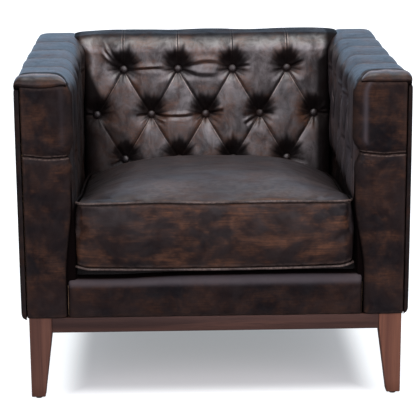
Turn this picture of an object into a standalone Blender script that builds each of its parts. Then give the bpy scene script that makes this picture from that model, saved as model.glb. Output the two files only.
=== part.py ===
"""Worn leather club chair: a box chair, deep-buttoned inside, on a walnut plinth with tapered legs.

Metres, +Z up, the front towards -Y. The origin is on the floor under the middle of the chair.
Each soft piece is one solid of foam, wadding and leather together.
"""

import math

import bmesh
import bpy
import numpy as np
from mathutils import Matrix

# --- Overall size -----------------------------------------------------------------------------
WIDTH = 0.930                 # over the outside arms at their fullest
DEPTH = 0.800                 # from the arm facings to the outside back
ARM_TOP = 0.788
BACK_RISE = 0.008             # the top of the back bows up this much above the arms
BODY_BOTTOM = 0.2055          # underside of the upholstered body
GAP = 0.0003                  # clearance between pieces that touch

# --- Plinth and legs --------------------------------------------------------------------------
BASE_HALF_WIDTH = 0.447       # to the outer faces of the legs
BASE_HALF_DEPTH = 0.3925
PLINTH_TOP = BODY_BOTTOM - 0.0005
PLINTH_HEIGHT = 0.037
PLINTH_THICKNESS = 0.022
PLINTH_SETBACK = 0.001        # the rails stand this far behind the faces of the legs
LEG_TOP = 0.054               # square section beside the plinth
LEG_FOOT = 0.0335             # square section at the foot
GLIDE_RADIUS = 0.009
GLIDE_HEIGHT = 0.006

# --- Hidden frame -----------------------------------------------------------------------------
FRAME_HALF_WIDTH = 0.452      # outer faces of the posts
FRAME_FRONT = -0.3775
FRAME_BACK = 0.387
FRAME_BOTTOM = 0.2071
RAIL_THICKNESS = 0.028
POST_WIDTH = 0.062
FRONT_RAIL_TOP = 0.2895
ARM_RAIL_INNER = 0.3715       # inner faces of the arm posts and rails
TOP_RAIL_BOTTOM = 0.7350
TOP_RAIL_TOP = 0.7585
BACK_RAIL_FRONT = 0.325       # front faces of the back posts and rails
BLOCK_LEG = 0.080
BLOCK_HEIGHT = 0.040
TACKING_RAIL_LIFT = 0.012     # above the seat frame's front rail
TACKING_RAIL_HEIGHT = 0.055
SPRING_COUNT = 5
SPRING_PITCH_X = 0.125
SPRING_BENDS = 9
SPRING_SWING = 0.024
SPRING_FRONT = -0.3680
SPRING_BACK = 0.3680
WIRE_RADIUS = 0.0018
DECK_LIFT = 2.1 * WIRE_RADIUS + 2 * GAP        # underside of the deck above the front rail's edge

# --- Seat -------------------------------------------------------------------------------------
SEAT_PITCH = math.radians(3.0)        # the seat falls towards the back
DECK_FRONT = -0.3440
DECK_THICKNESS = 0.0220
BORDER_HALF_WIDTH = 0.3510
BORDER_FRONT = -0.3960
BORDER_TOP = 0.3050
BORDER_ROUND = 0.0220
CUSHION_HALF_WIDTH = 0.3320
CUSHION_FRONT = -0.3850
CUSHION_BACK = 0.2300
CUSHION_BELLY = 0.0080                # the underside bulges this far below the lower piping
CUSHION_BOXING = 0.1580               # height between the two lines of piping
CUSHION_CROWN = 0.0480
CUSHION_CORNER = 0.0300
PIPING_RADIUS = 0.0035

# --- Buttoned pads ----------------------------------------------------------------------------
ARM_CREST = 0.3350                    # |x| of the fullest part of the inside arms
BACK_CREST = 0.2400                   # y of the fullest part of the inside back
TUFT_DEPTH = 0.0240                   # from the crests down to the buttons
TOP_BUTTON_ROW = 0.7020
BUTTON_ROW_STEP = 0.1225
BACK_BUTTON_STEP = 0.1480
BACK_BUTTON_SHIFT = -0.0080           # the hand-laid buttons of the back sit slightly to one side
ARM_BUTTON_STEP = 0.1400
CELLS = 5                             # grid cells along half a button step
PLEAT_SHARE = 0.30                    # depth of a pleat over the top, as a share of TUFT_DEPTH
PLEAT_FADE = 0.055                    # distance over which a crease runs out into a pleat
BACK_ROUND = 0.072                    # radius of the turn from the inside back onto the top
ARM_ROUND_A = 0.040                   # the same turn on the arms, across and upright
ARM_ROUND_Z = 0.050
ARM_ROUND_BEHIND = 0.016              # both, where the arm runs past the back
TOP_EDGE_ROUND = 0.012
BUTTON_RADIUS = 0.0105
BUTTON_THICKNESS = 0.0080
STEEPER_ABOVE = 1.15                  # a dimple is this much steeper above the top buttons

# --- Outer panels -----------------------------------------------------------------------------
PANEL_INNER = 0.4525                  # |x| of the inner faces of the outside arms
PANEL_EDGE = 0.4575
PANEL_TURN_UNDER = 0.003              # how far the lower edge turns in
PANEL_ROWS = np.array([0.0, 0.03, 0.09, 0.3, 0.6, 0.85, 0.97, 1.0])       # grid lines, as shares
PANEL_COLUMNS = np.array([0.0, 0.02, 0.1, 0.3, 0.5, 0.7, 0.9, 0.98, 1.0])
BACK_PANEL_INNER = 0.3875
BACK_PANEL_EDGE = 0.3940
FACING_FRONT = -0.4000
FACING_BACK = -0.3778
FACING_TOP = 0.7685
FACING_OUTER = 0.4505
FACING_INNER_UPPER = 0.3370
FACING_INNER_LOWER = 0.3520
FACING_SEAM = 0.5980
DUST_COVER_THICKNESS = 0.0012

SIDES = (("left", -1), ("right", 1))

LEATHER = (0.060, 0.042, 0.036, 1.0)
WALNUT = (0.120, 0.055, 0.035, 1.0)
HARDWOOD = (0.520, 0.360, 0.210, 1.0)
STEEL = (0.450, 0.450, 0.460, 1.0)
BLACK_PLASTIC = (0.012, 0.012, 0.012, 1.0)
BLACK_CLOTH = (0.020, 0.020, 0.020, 1.0)


# --- Materials and meshes ---------------------------------------------------------------------
def clear_scene():
    for old in list(bpy.data.objects):
        bpy.data.objects.remove(old)


def material(name, colour, roughness, metallic=0.0):
    made = bpy.data.materials.new(name)
    made.use_nodes = True
    shader = made.node_tree.nodes["Principled BSDF"]
    shader.inputs["Base Color"].default_value = colour
    shader.inputs["Roughness"].default_value = roughness
    shader.inputs["Metallic"].default_value = metallic
    return made


def link_mesh(name, mesh, coat):
    made = bpy.data.objects.new(name, mesh)
    made.data.materials.append(coat)
    bpy.context.scene.collection.objects.link(made)
    return made


def mesh_from_faces(name, points, faces):
    """A closed mesh from points and faces, with every face turned outwards."""
    mesh = bpy.data.meshes.new(name)
    mesh.from_pydata([tuple(map(float, point)) for point in points], [], faces)
    shell = bmesh.new()
    shell.from_mesh(mesh)
    bmesh.ops.remove_doubles(shell, verts=shell.verts, dist=1e-6)
    bmesh.ops.recalc_face_normals(shell, faces=shell.faces)
    shell.to_mesh(mesh)
    shell.free()
    return mesh


def block_mesh(name, low, high):
    """A box between two opposite corners."""
    points = [(x, y, z) for z in (low[2], high[2]) for y in (low[1], high[1]) for x in (low[0], high[0])]
    faces = [(0, 1, 3, 2), (4, 5, 7, 6), (0, 1, 5, 4), (2, 3, 7, 6), (0, 2, 6, 4), (1, 3, 7, 5)]
    return mesh_from_faces(name, points, faces)


def add_block(name, low, high, coat):
    return link_mesh(name, block_mesh(name, low, high), coat)


def add_prism(name, outline, low, high, coat, axis="z"):
    """A straight extrusion of an outline, given in the two axes other than the extrusion's."""
    place = {
        "z": lambda a, b, c: (a, b, c),
        "x": lambda a, b, c: (c, a, b),
        "y": lambda a, b, c: (a, c, b),
    }[axis]
    count = len(outline)
    points = [place(a, b, end) for end in (low, high) for a, b in outline]
    faces = [tuple(range(count)), tuple(range(count, 2 * count))]
    faces += [(i, (i + 1) % count, count + (i + 1) % count, count + i) for i in range(count)]
    return link_mesh(name, mesh_from_faces(name, points, faces), coat)


def span(side, near, far):
    """The ordered x limits of something that lies between two distances on one side of the chair."""
    return tuple(sorted((side * near, side * far)))


# --- Plinth, legs and glides ------------------------------------------------------------------
def add_leg(name, side, end, coat):
    """A leg with upright outer faces, square beside the plinth and tapered inwards below it."""
    levels = ((GLIDE_HEIGHT, LEG_FOOT), (PLINTH_TOP - PLINTH_HEIGHT, LEG_TOP), (PLINTH_TOP, LEG_TOP))
    points = []
    for height, width in levels:
        for along_x, along_y in ((0, 0), (width, 0), (width, width), (0, width)):
            points.append((side * (BASE_HALF_WIDTH - along_x), end * (BASE_HALF_DEPTH - along_y), height))
    faces = [(0, 1, 2, 3), (8, 9, 10, 11)]
    for ring in (0, 4):
        faces += [(ring + i, ring + (i + 1) % 4, ring + 4 + (i + 1) % 4, ring + 4 + i) for i in range(4)]
    return link_mesh(name, mesh_from_faces(name, points, faces), coat)


def add_glide(name, side, end, coat):
    shell = bmesh.new()
    bmesh.ops.create_cone(
        shell,
        cap_ends=True,
        segments=20,
        radius1=GLIDE_RADIUS * 0.85,
        radius2=GLIDE_RADIUS,
        depth=GLIDE_HEIGHT - GAP,
    )
    mesh = bpy.data.meshes.new(name)
    shell.to_mesh(mesh)
    shell.free()
    mesh.shade_smooth()
    mesh.set_sharp_from_angle(angle=math.radians(40))
    glide = link_mesh(name, mesh, coat)
    inset = LEG_FOOT / 2
    glide.location = (
        side * (BASE_HALF_WIDTH - inset),
        end * (BASE_HALF_DEPTH - inset),
        (GLIDE_HEIGHT - GAP) / 2,
    )
    return glide


def add_base(walnut, plastic):
    bottom = PLINTH_TOP - PLINTH_HEIGHT
    rail_half_x = BASE_HALF_WIDTH - LEG_TOP - GAP
    rail_half_y = BASE_HALF_DEPTH - LEG_TOP - GAP
    outer_x = BASE_HALF_WIDTH - PLINTH_SETBACK
    outer_y = BASE_HALF_DEPTH - PLINTH_SETBACK
    for word, end in (("front", -1), ("back", 1)):
        y_low, y_high = span(end, outer_y - PLINTH_THICKNESS, outer_y)
        add_block(f"plinth_{word}", (-rail_half_x, y_low, bottom), (rail_half_x, y_high, PLINTH_TOP), walnut)
        for hand, side in SIDES:
            add_leg(f"leg_{word}_{hand}", side, end, walnut)
            add_glide(f"glide_{word}_{hand}", side, end, plastic)
    for hand, side in SIDES:
        x_low, x_high = span(side, outer_x - PLINTH_THICKNESS, outer_x)
        add_block(f"plinth_{hand}", (x_low, -rail_half_y, bottom), (x_high, rail_half_y, PLINTH_TOP), walnut)


# --- Hidden frame, springs and cloths ---------------------------------------------------------
def seat_plane(y, lift):
    """Height at y of the sloping plane through the front rail's inner edge, raised by lift."""
    return FRONT_RAIL_TOP + lift - (y - FRAME_FRONT - RAIL_THICKNESS) * math.tan(SEAT_PITCH)


def deck_height(y):
    """Top of the seat deck, which lies on the springs."""
    return seat_plane(y, DECK_LIFT + DECK_THICKNESS)


def add_seat_frame(timber):
    half = FRAME_HALF_WIDTH
    rail_back = FRAME_FRONT + RAIL_THICKNESS
    add_block(
        "seat_rail_front", (-half, FRAME_FRONT, FRAME_BOTTOM), (half, rail_back, FRONT_RAIL_TOP), timber
    )
    back_half = half - POST_WIDTH - GAP
    add_block(
        "seat_rail_back",
        (-back_half, FRAME_BACK - RAIL_THICKNESS, FRAME_BOTTOM),
        (back_half, FRAME_BACK, seat_plane(SPRING_BACK, 0.0)),
        timber,
    )
    for hand, side in SIDES:
        x_low, x_high = span(side, half - RAIL_THICKNESS, half)
        add_block(
            f"seat_rail_{hand}",
            (x_low, rail_back + GAP, FRAME_BOTTOM),
            (x_high, BACK_RAIL_FRONT - GAP, FRONT_RAIL_TOP),
            timber,
        )


def add_corner_blocks(timber):
    """Four three-cornered blocks glued into the corners of the seat frame."""
    inner_x = FRAME_HALF_WIDTH - RAIL_THICKNESS - GAP
    front_y = FRAME_FRONT + RAIL_THICKNESS + GAP
    back_y = BACK_RAIL_FRONT - GAP
    for word, corner_y, inward in (("front", front_y, 1), ("back", back_y, -1)):
        for hand, side in SIDES:
            corner_x = side * inner_x
            outline = [
                (corner_x, corner_y),
                (corner_x - side * BLOCK_LEG, corner_y),
                (corner_x, corner_y + inward * BLOCK_LEG),
            ]
            name = f"corner_block_{word}_{hand}"
            add_prism(name, outline, FRAME_BOTTOM, FRAME_BOTTOM + BLOCK_HEIGHT, timber)


def add_arm_frame(hand, side, timber):
    half = FRAME_HALF_WIDTH
    x_low, x_high = span(side, ARM_RAIL_INNER, half)
    add_block(
        f"arm_post_{hand}",
        (x_low, FRAME_FRONT, FRONT_RAIL_TOP + GAP),
        (x_high, FRAME_FRONT + RAIL_THICKNESS, TOP_RAIL_BOTTOM - GAP),
        timber,
    )
    add_block(
        f"arm_rail_top_{hand}",
        (x_low, FRAME_FRONT, TOP_RAIL_BOTTOM),
        (x_high, FRAME_BACK, TOP_RAIL_TOP),
        timber,
    )
    low_x, high_x = span(side, ARM_RAIL_INNER, ARM_RAIL_INNER + RAIL_THICKNESS)
    add_block(
        f"arm_rail_lower_{hand}",
        (low_x, FRAME_FRONT + RAIL_THICKNESS + GAP, FRONT_RAIL_TOP + TACKING_RAIL_LIFT),
        (high_x, BACK_RAIL_FRONT - GAP, FRONT_RAIL_TOP + TACKING_RAIL_LIFT + TACKING_RAIL_HEIGHT),
        timber,
    )
    post_low, post_high = span(side, half - POST_WIDTH, half)
    add_block(
        f"back_post_{hand}",
        (post_low, BACK_RAIL_FRONT, FRAME_BOTTOM),
        (post_high, FRAME_BACK, TOP_RAIL_BOTTOM - GAP),
        timber,
    )


def add_back_frame(timber):
    rail_half = ARM_RAIL_INNER - GAP
    add_block(
        "back_rail_top",
        (-rail_half, BACK_RAIL_FRONT, TOP_RAIL_BOTTOM),
        (rail_half, FRAME_BACK, TOP_RAIL_TOP),
        timber,
    )
    lower_half = FRAME_HALF_WIDTH - POST_WIDTH - GAP
    low = FRONT_RAIL_TOP + TACKING_RAIL_LIFT
    add_block(
        "back_rail_lower",
        (-lower_half, BACK_RAIL_FRONT, low),
        (lower_half, BACK_RAIL_FRONT + RAIL_THICKNESS, low + TACKING_RAIL_HEIGHT),
        timber,
    )


def spring_route():
    """One sinuous spring from above: a wave whose bends are rounded out to loops."""
    per_bend = 3  # points
    steps = np.arange(SPRING_BENDS * per_bend + 1)
    phase = steps / per_bend * math.pi
    reach = SPRING_FRONT + (SPRING_BACK - SPRING_FRONT) * steps / steps[-1]
    bulge = 0.18 * (SPRING_BACK - SPRING_FRONT) / SPRING_BENDS
    return SPRING_SWING * np.sin(phase), reach + bulge * np.sin(2 * phase)


def add_springs(steel):
    """Sinuous wires that lie on the front and back rails and slope with the seat."""
    swing, reach = spring_route()
    for index in range(SPRING_COUNT):
        middle = (index - (SPRING_COUNT - 1) / 2) * SPRING_PITCH_X
        wire = bpy.data.curves.new(f"seat_spring_{index + 1}", "CURVE")
        wire.dimensions = "3D"
        wire.bevel_depth = WIRE_RADIUS
        wire.bevel_resolution = 0
        wire.use_fill_caps = True
        wire.materials.append(steel)
        line = wire.splines.new("POLY")
        line.points.add(len(swing) - 1)
        for point, x, y in zip(line.points, swing + middle, reach):
            point.co = (x, y, seat_plane(y, WIRE_RADIUS + GAP), 1.0)
        spring = bpy.data.objects.new(f"seat_spring_{index + 1}", wire)
        bpy.context.scene.collection.objects.link(spring)


def add_deck(cloth):
    """The sloping platform that lies on the springs and carries the cushion and the pads."""
    back = BACK_RAIL_FRONT - GAP
    half = ARM_RAIL_INNER - GAP
    outline = [
        (DECK_FRONT, deck_height(DECK_FRONT) - DECK_THICKNESS),
        (back, deck_height(back) - DECK_THICKNESS),
        (back, deck_height(back)),
        (DECK_FRONT, deck_height(DECK_FRONT)),
    ]
    add_prism("seat_deck", outline, -half, half, cloth, axis="x")


def add_dust_cover(cloth):
    inset = 0.010
    low = BODY_BOTTOM - 0.0002
    add_block(
        "dust_cover",
        (-FRAME_HALF_WIDTH + inset, FRAME_FRONT + inset, low),
        (FRAME_HALF_WIDTH - inset, FRAME_BACK - inset, low + DUST_COVER_THICKNESS),
        cloth,
    )


# --- Buttoned pads ----------------------------------------------------------------------------
class Lattice:
    """The button layout of one pad: u runs along the pad, z up it.

    Rows of buttons lie BUTTON_ROW_STEP apart. The odd rows start at first, and the even rows lie
    half a step to the side, between low and high.
    """

    def __init__(self, first, step, count, low, high, rows):
        self.first = first
        self.step = step
        self.last = first + (count - 1) * step
        self.low = low
        self.high = high
        self.rows = rows
        self.bottom = TOP_BUTTON_ROW - (rows - 1) * BUTTON_ROW_STEP

    def buttons(self):
        """The (row, number, u, z) of every button, with rows counted from the top one."""
        places = []
        for row in range(self.rows):
            start, end = (self.low, self.high) if row % 2 else (self.first, self.last)
            number = int((end - start) / self.step + 0.01) + 1
            height = TOP_BUTTON_ROW - row * BUTTON_ROW_STEP
            places += [(row + 1, i + 1, start + i * self.step, height) for i in range(number)]
        return places


def smooth_step(value):
    share = np.clip(value, 0.0, 1.0)
    return share * share * (3.0 - 2.0 * share)


def pillow(turns):
    """0 on a crease line (whole turns) and 1 midway between two of them."""
    return np.abs(np.sin(math.pi * turns)) ** 0.65


def crease_depth(turns):
    """1 at a button (whole turns) and shallower midway between two buttons."""
    return 0.42 + 0.58 * np.abs(np.cos(math.pi * turns)) ** 1.5


def sink(u, z, lattice):
    """Share of TUFT_DEPTH by which the pad lies below its crest at (u, z).

    Creases join each button to its diagonal neighbours. Beyond the outermost buttons the creases
    run on straight, as pleats that fade to PLEAT_SHARE.
    """
    inside_u = np.clip(u, lattice.low, lattice.high)
    inside_z = np.clip(z, lattice.bottom, TOP_BUTTON_ROW)
    along = (inside_u - lattice.first) / lattice.step
    down = (TOP_BUTTON_ROW - inside_z) / (2.0 * BUTTON_ROW_STEP)
    rising = along + down
    falling = along - down
    left = 1.0 - (1.0 - pillow(rising)) * crease_depth(falling)
    right = 1.0 - (1.0 - pillow(falling)) * crease_depth(rising)
    outside = np.hypot(u - inside_u, z - inside_z)
    fade = 1.0 - (1.0 - PLEAT_SHARE) * smooth_step(outside / PLEAT_FADE)
    return (1.0 - left * right) * fade


def roll_section(front, outer, top, round_a, round_z):
    """The outline of a pad that rolls over a rail, one row of (offset, height, normal, travel) per point.

    It climbs at the front face, turns over the top along a quarter ellipse, runs level, and turns
    down along a small quarter circle at the outer edge. Travel goes on from the height of the top
    buttons along the outline, so that the pleats follow it.
    """
    step = BUTTON_ROW_STEP / CELLS
    foot = TOP_BUTTON_ROW - (2 * CELLS + 2) * step
    climb = [foot - step] + list(foot + step * np.arange(2 * CELLS + 3))
    a = [front] * len(climb)
    z = list(climb)
    normal_a = [-1.0] * len(climb)
    normal_z = [0.0] * len(climb)
    for angle in np.linspace(0.0, math.pi / 2, 6):
        out, up = math.cos(angle) / round_a, math.sin(angle) / round_z
        a.append(front + round_a * (1.0 - math.cos(angle)))
        z.append(top - round_z * (1.0 - math.sin(angle)))
        normal_a.append(-out / math.hypot(out, up))
        normal_z.append(up / math.hypot(out, up))
    for flat in np.linspace(front + round_a, outer - TOP_EDGE_ROUND, 4)[1:]:
        a.append(flat)
        z.append(top)
        normal_a.append(0.0)
        normal_z.append(1.0)
    for angle in (math.pi / 4, math.pi / 2):
        a.append(outer - TOP_EDGE_ROUND * (1.0 - math.sin(angle)))
        z.append(top - TOP_EDGE_ROUND * (1.0 - math.cos(angle)))
        normal_a.append(math.sin(angle))
        normal_z.append(math.cos(angle))
    a.append(outer)
    z.append(TOP_RAIL_TOP + GAP)
    normal_a.append(1.0)
    normal_z.append(0.0)
    legs = np.hypot(np.diff(a), np.diff(z))
    travel = climb[0] + np.concatenate(([0.0], np.cumsum(legs)))
    return np.stack([a, z, normal_a, normal_z, travel], axis=1)


def pad_columns(lattice, low, high):
    """Grid columns that fall on the buttons and midway lines, with the two ends of the pad added."""
    step = lattice.step / (2 * CELLS)
    first = math.ceil((low + 0.4 * step - lattice.first) / step)
    last = math.floor((high - 0.4 * step - lattice.first) / step)
    return np.concatenate(([low], lattice.first + step * np.arange(first, last + 1), [high]))


def grid_triangles(height):
    """Two triangles for each grid cell, split along the diagonal that lies deeper."""
    rows, columns = height.shape
    faces = []
    for i in range(rows - 1):
        for j in range(columns - 1):
            a = i * columns + j
            b, c, d = a + 1, a + columns + 1, a + columns
            straight = height[i, j] + height[i + 1, j + 1]
            crossed = height[i, j + 1] + height[i + 1, j]
            faces += [(a, b, c), (a, c, d)] if straight <= crossed else [(a, b, d), (b, c, d)]
    return faces


def add_pad(name, lattice, low, high, section_at, calm_at, back, foot_at, place, coat):
    """A buttoned pad: a sunken grid over its face and top, closed by flat faces behind it.

    section_at(u) is the outline at a column, calm_at(u) scales the buttoning there, back is the
    offset of the flat back, foot_at(a, u) the height of its lower end, and place(a, u, z) turns an
    offset, a distance along the pad and a height into a point.
    """
    columns = pad_columns(lattice, low, high)
    section = np.stack([section_at(u) for u in columns], axis=1)
    a, z, normal_a, normal_z, travel = np.moveaxis(section, 2, 0)
    u = np.broadcast_to(columns, a.shape)
    relief = sink(u, travel, lattice) * calm_at(u)
    a = a - relief * TUFT_DEPTH * normal_a
    z = z - relief * TUFT_DEPTH * normal_z
    z[0] = [foot_at(offset, column) for offset, column in zip(a[0], columns)]
    rows, count = a.shape
    points = [place(*point) for point in zip(a.ravel(), u.ravel(), z.ravel())]
    for column in (columns[0], columns[-1]):
        points.append(place(back, column, foot_at(back, column)))
        points.append(place(back, column, TOP_RAIL_TOP + GAP))
    foot_1, ledge_1, foot_2, ledge_2 = range(rows * count, rows * count + 4)
    faces = grid_triangles(1.0 - relief)
    faces.append(tuple(range(count)) + (foot_2, foot_1))
    faces.append((foot_1, foot_2, ledge_2, ledge_1))
    faces.append(tuple(range((rows - 1) * count, rows * count)) + (ledge_2, ledge_1))
    faces.append(tuple(range(0, rows * count, count)) + (ledge_1, foot_1))
    faces.append(tuple(range(count - 1, rows * count, count)) + (ledge_2, foot_2))
    pad = link_mesh(name, mesh_from_faces(name, points, faces), coat)
    pad.data.shade_smooth()
    pad.data.set_sharp_from_angle(angle=math.radians(50))
    return pad


def button_mesh(name, seat_rise):
    """A covered button facing -Y: a low dome in front and a flat cone behind it, in its dimple."""
    profile = [(0.0, -BUTTON_THICKNESS), (0.6, -0.85 * BUTTON_THICKNESS), (1.0, -0.3 * BUTTON_THICKNESS)]
    profile += [(1.0, 0.0), (0.0, seat_rise)]
    segments = 10
    points = [(0.0, profile[0][1], 0.0), (0.0, profile[-1][1], 0.0)]
    for share, y in profile[1:-1]:
        radius = share * BUTTON_RADIUS
        for turn in range(segments):
            angle = 2 * math.pi * turn / segments
            points.append((radius * math.cos(angle), y, radius * math.sin(angle)))
    rings = [2 + ring * segments for ring in range(3)]
    faces = []
    for i in range(segments):
        j = (i + 1) % segments
        faces.append((0, rings[0] + i, rings[0] + j))
        faces.append((1, rings[2] + i, rings[2] + j))
        faces += [(low + i, low + j, high + j, high + i) for low, high in zip(rings, rings[1:])]
    mesh = mesh_from_faces(name, points, faces)
    mesh.shade_smooth()
    mesh.set_sharp_from_angle(angle=math.radians(45))
    return mesh


def dimple_rise(lattice):
    """How far the dimple's wall has risen at the rim of a button, on its steepest side."""
    step = lattice.step / (2 * CELLS)
    wall = 1.0 - float(sink(lattice.first + step, TOP_BUTTON_ROW, lattice))
    return TUFT_DEPTH * wall * BUTTON_RADIUS / step * STEEPER_ABOVE


def add_inside_back(leather):
    first = BACK_BUTTON_SHIFT - 1.5 * BACK_BUTTON_STEP
    low = first - BACK_BUTTON_STEP / 2
    lattice = Lattice(first, BACK_BUTTON_STEP, 4, low, low + 4 * BACK_BUTTON_STEP, 3)
    half = ARM_CREST - 2 * GAP

    def section_at(x):
        bow = BACK_RISE * (1.0 - (x / half) ** 2)
        return roll_section(BACK_CREST, DEPTH / 2 - 0.002, ARM_TOP + bow, BACK_ROUND, BACK_ROUND)

    def calm_at(x):
        return smooth_step((half - np.abs(x)) / 0.012 + 0.5)

    add_pad(
        "inside_back",
        lattice,
        -half,
        half,
        section_at,
        calm_at,
        BACK_RAIL_FRONT - GAP,
        lambda a, u: deck_height(a) + GAP,
        lambda a, u, z: (u, a, z),
        leather,
    )
    rise = dimple_rise(lattice)
    mesh = button_mesh("back_button", rise - GAP)
    mesh.materials.append(leather)
    for row, number, x, z in lattice.buttons():
        button = bpy.data.objects.new(f"back_button_{row}_{number}", mesh)
        button.location = (x, BACK_CREST + TUFT_DEPTH - rise - GAP, z)
        bpy.context.scene.collection.objects.link(button)


def add_cutter(name, mesh):
    cutter = bpy.data.objects.new(name, mesh)
    cutter.hide_render = True
    cutter.display_type = "WIRE"
    bpy.context.scene.collection.objects.link(cutter)
    return cutter


def arm_buttons(name, side, lattice):
    """All the buttons of one inside arm as one mesh, each sunk a little into its dimple."""
    shell = bmesh.new()
    rise = dimple_rise(lattice)
    plain = button_mesh(f"{name}_one", rise)
    turn = math.radians(90 * side)
    seat = ARM_CREST + TUFT_DEPTH - rise + 0.0015
    for _, _, y, z in lattice.buttons():
        copy = bmesh.new()
        copy.from_mesh(plain)
        bmesh.ops.rotate(copy, verts=copy.verts, matrix=Matrix.Rotation(turn, 3, "Z"))
        bmesh.ops.translate(copy, verts=copy.verts, vec=(side * seat, y, z))
        single = bpy.data.meshes.new(name)
        copy.to_mesh(single)
        copy.free()
        shell.from_mesh(single)
    mesh = bpy.data.meshes.new(name)
    shell.to_mesh(mesh)
    shell.free()
    return mesh


def add_boolean(target, cutter, operation):
    modifier = target.modifiers.new(cutter.name, "BOOLEAN")
    modifier.operation = operation
    modifier.solver = "EXACT"
    modifier.object = cutter


def add_inside_arm(hand, side, leather):
    """A buttoned arm pad. Its top runs on over the facing in front and over the back rail behind."""
    step = ARM_BUTTON_STEP
    lattice = Lattice(-1.5 * step, step, 4, -2 * step, 1.5 * step, 3)
    end = DEPTH / 2 - 0.002

    def section_at(y):
        tight = smooth_step((y - BACK_CREST + 0.02) / 0.05)
        round_a = ARM_ROUND_A + (ARM_ROUND_BEHIND - ARM_ROUND_A) * tight
        round_z = ARM_ROUND_Z + (ARM_ROUND_BEHIND - ARM_ROUND_Z) * tight
        return roll_section(ARM_CREST, PANEL_EDGE, ARM_TOP, round_a, round_z)

    def calm_at(y):
        return smooth_step((y - FACING_BACK) / 0.03) * smooth_step((BACK_CREST + 0.01 - y) / 0.03)

    pad = add_pad(
        f"inside_arm_{hand}",
        lattice,
        -end,
        end,
        section_at,
        calm_at,
        ARM_RAIL_INNER - GAP,
        lambda a, u: deck_height(u) + GAP,
        lambda a, u, z: (side * a, u, z),
        leather,
    )
    x_low, x_high = span(side, ARM_CREST - 0.05, PANEL_EDGE + 0.05)
    facing_room = ((x_low, -DEPTH, 0.0), (x_high, FACING_BACK + GAP, FACING_TOP + 2 * GAP))
    rail_room = ((x_low, BACK_RAIL_FRONT - GAP, 0.0), (x_high, DEPTH, TOP_RAIL_TOP + GAP))
    front = block_mesh("front", *facing_room)
    behind = block_mesh("behind", *rail_room)
    add_boolean(pad, add_cutter(f"front_cutter_{hand}", front), "DIFFERENCE")
    add_boolean(pad, add_cutter(f"behind_cutter_{hand}", behind), "DIFFERENCE")
    buttons = arm_buttons(f"arm_buttons_{hand}", side, lattice)
    add_boolean(pad, add_cutter(f"button_fuse_{hand}", buttons), "UNION")


# --- Outer panels, facings and front border ---------------------------------------------------
def add_slab(name, front, flatten, coat):
    """A padded panel: a grid of points for its face, closed by the flat shadow of the grid's border."""
    rows, columns = front.shape[:2]
    border = list(range(columns))
    border += [i * columns + columns - 1 for i in range(1, rows)]
    border += [(rows - 1) * columns + j for j in range(columns - 2, -1, -1)]
    border += [i * columns for i in range(rows - 2, 0, -1)]
    points = [tuple(point) for point in front.reshape(-1, 3)]
    faces = grid_triangles(np.zeros((rows, columns)))
    start = len(points)
    points += [flatten(*points[index]) for index in border]
    count = len(border)
    for i in range(count):
        j = (i + 1) % count
        faces.append((border[i], border[j], start + j, start + i))
    faces.append(tuple(range(start, start + count)))
    slab = link_mesh(name, mesh_from_faces(name, points, faces), coat)
    slab.data.shade_smooth()
    slab.data.set_sharp_from_angle(angle=math.radians(50))
    return slab


def swell(share):
    """A soft bulge over 0..1: 0 at both ends and nearly 1 over most of the middle."""
    return 1.0 - np.abs(2.0 * share - 1.0) ** 3


def add_outside_arm(hand, side, leather):
    end_front = FACING_FRONT + 0.008
    end_back = BACK_PANEL_INNER - GAP
    rows, columns = PANEL_ROWS[:, None], PANEL_COLUMNS[None, :]
    y = end_front + (end_back - end_front) * columns + 0 * rows
    z = BODY_BOTTOM + (TOP_RAIL_TOP - GAP - BODY_BOTTOM) * rows + 0 * columns
    fullness = WIDTH / 2 - PANEL_EDGE
    x = PANEL_EDGE + fullness * swell(rows) * swell(columns)
    x[0] -= PANEL_TURN_UNDER
    front = np.stack([side * x, y, z], axis=2)
    add_slab(f"outside_arm_{hand}", front, lambda px, py, pz: (side * PANEL_INNER, py, pz), leather)


def add_outside_back(leather):
    rows, columns = PANEL_ROWS[:, None], PANEL_COLUMNS[None, :]
    x = PANEL_EDGE * (2.0 * columns - 1.0) + 0 * rows
    z = BODY_BOTTOM + (TOP_RAIL_TOP - GAP - BODY_BOTTOM) * rows + 0 * columns
    y = BACK_PANEL_EDGE + (DEPTH / 2 - BACK_PANEL_EDGE) * swell(rows) * swell(columns)
    front = np.stack([x, y, z], axis=2)
    add_slab("outside_back", front, lambda px, py, pz: (px, BACK_PANEL_INNER, pz), leather)


def facing_inner(z):
    """Distance of a facing's inner edge: beside the border, then fuller, pinched at the seam."""
    above = smooth_step((z - BORDER_TOP - 0.001) / 0.015)
    edge = FACING_INNER_LOWER + (FACING_INNER_UPPER - FACING_INNER_LOWER) * above
    return edge + 0.006 * np.exp(-(((z - FACING_SEAM) / 0.012) ** 2))


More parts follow.
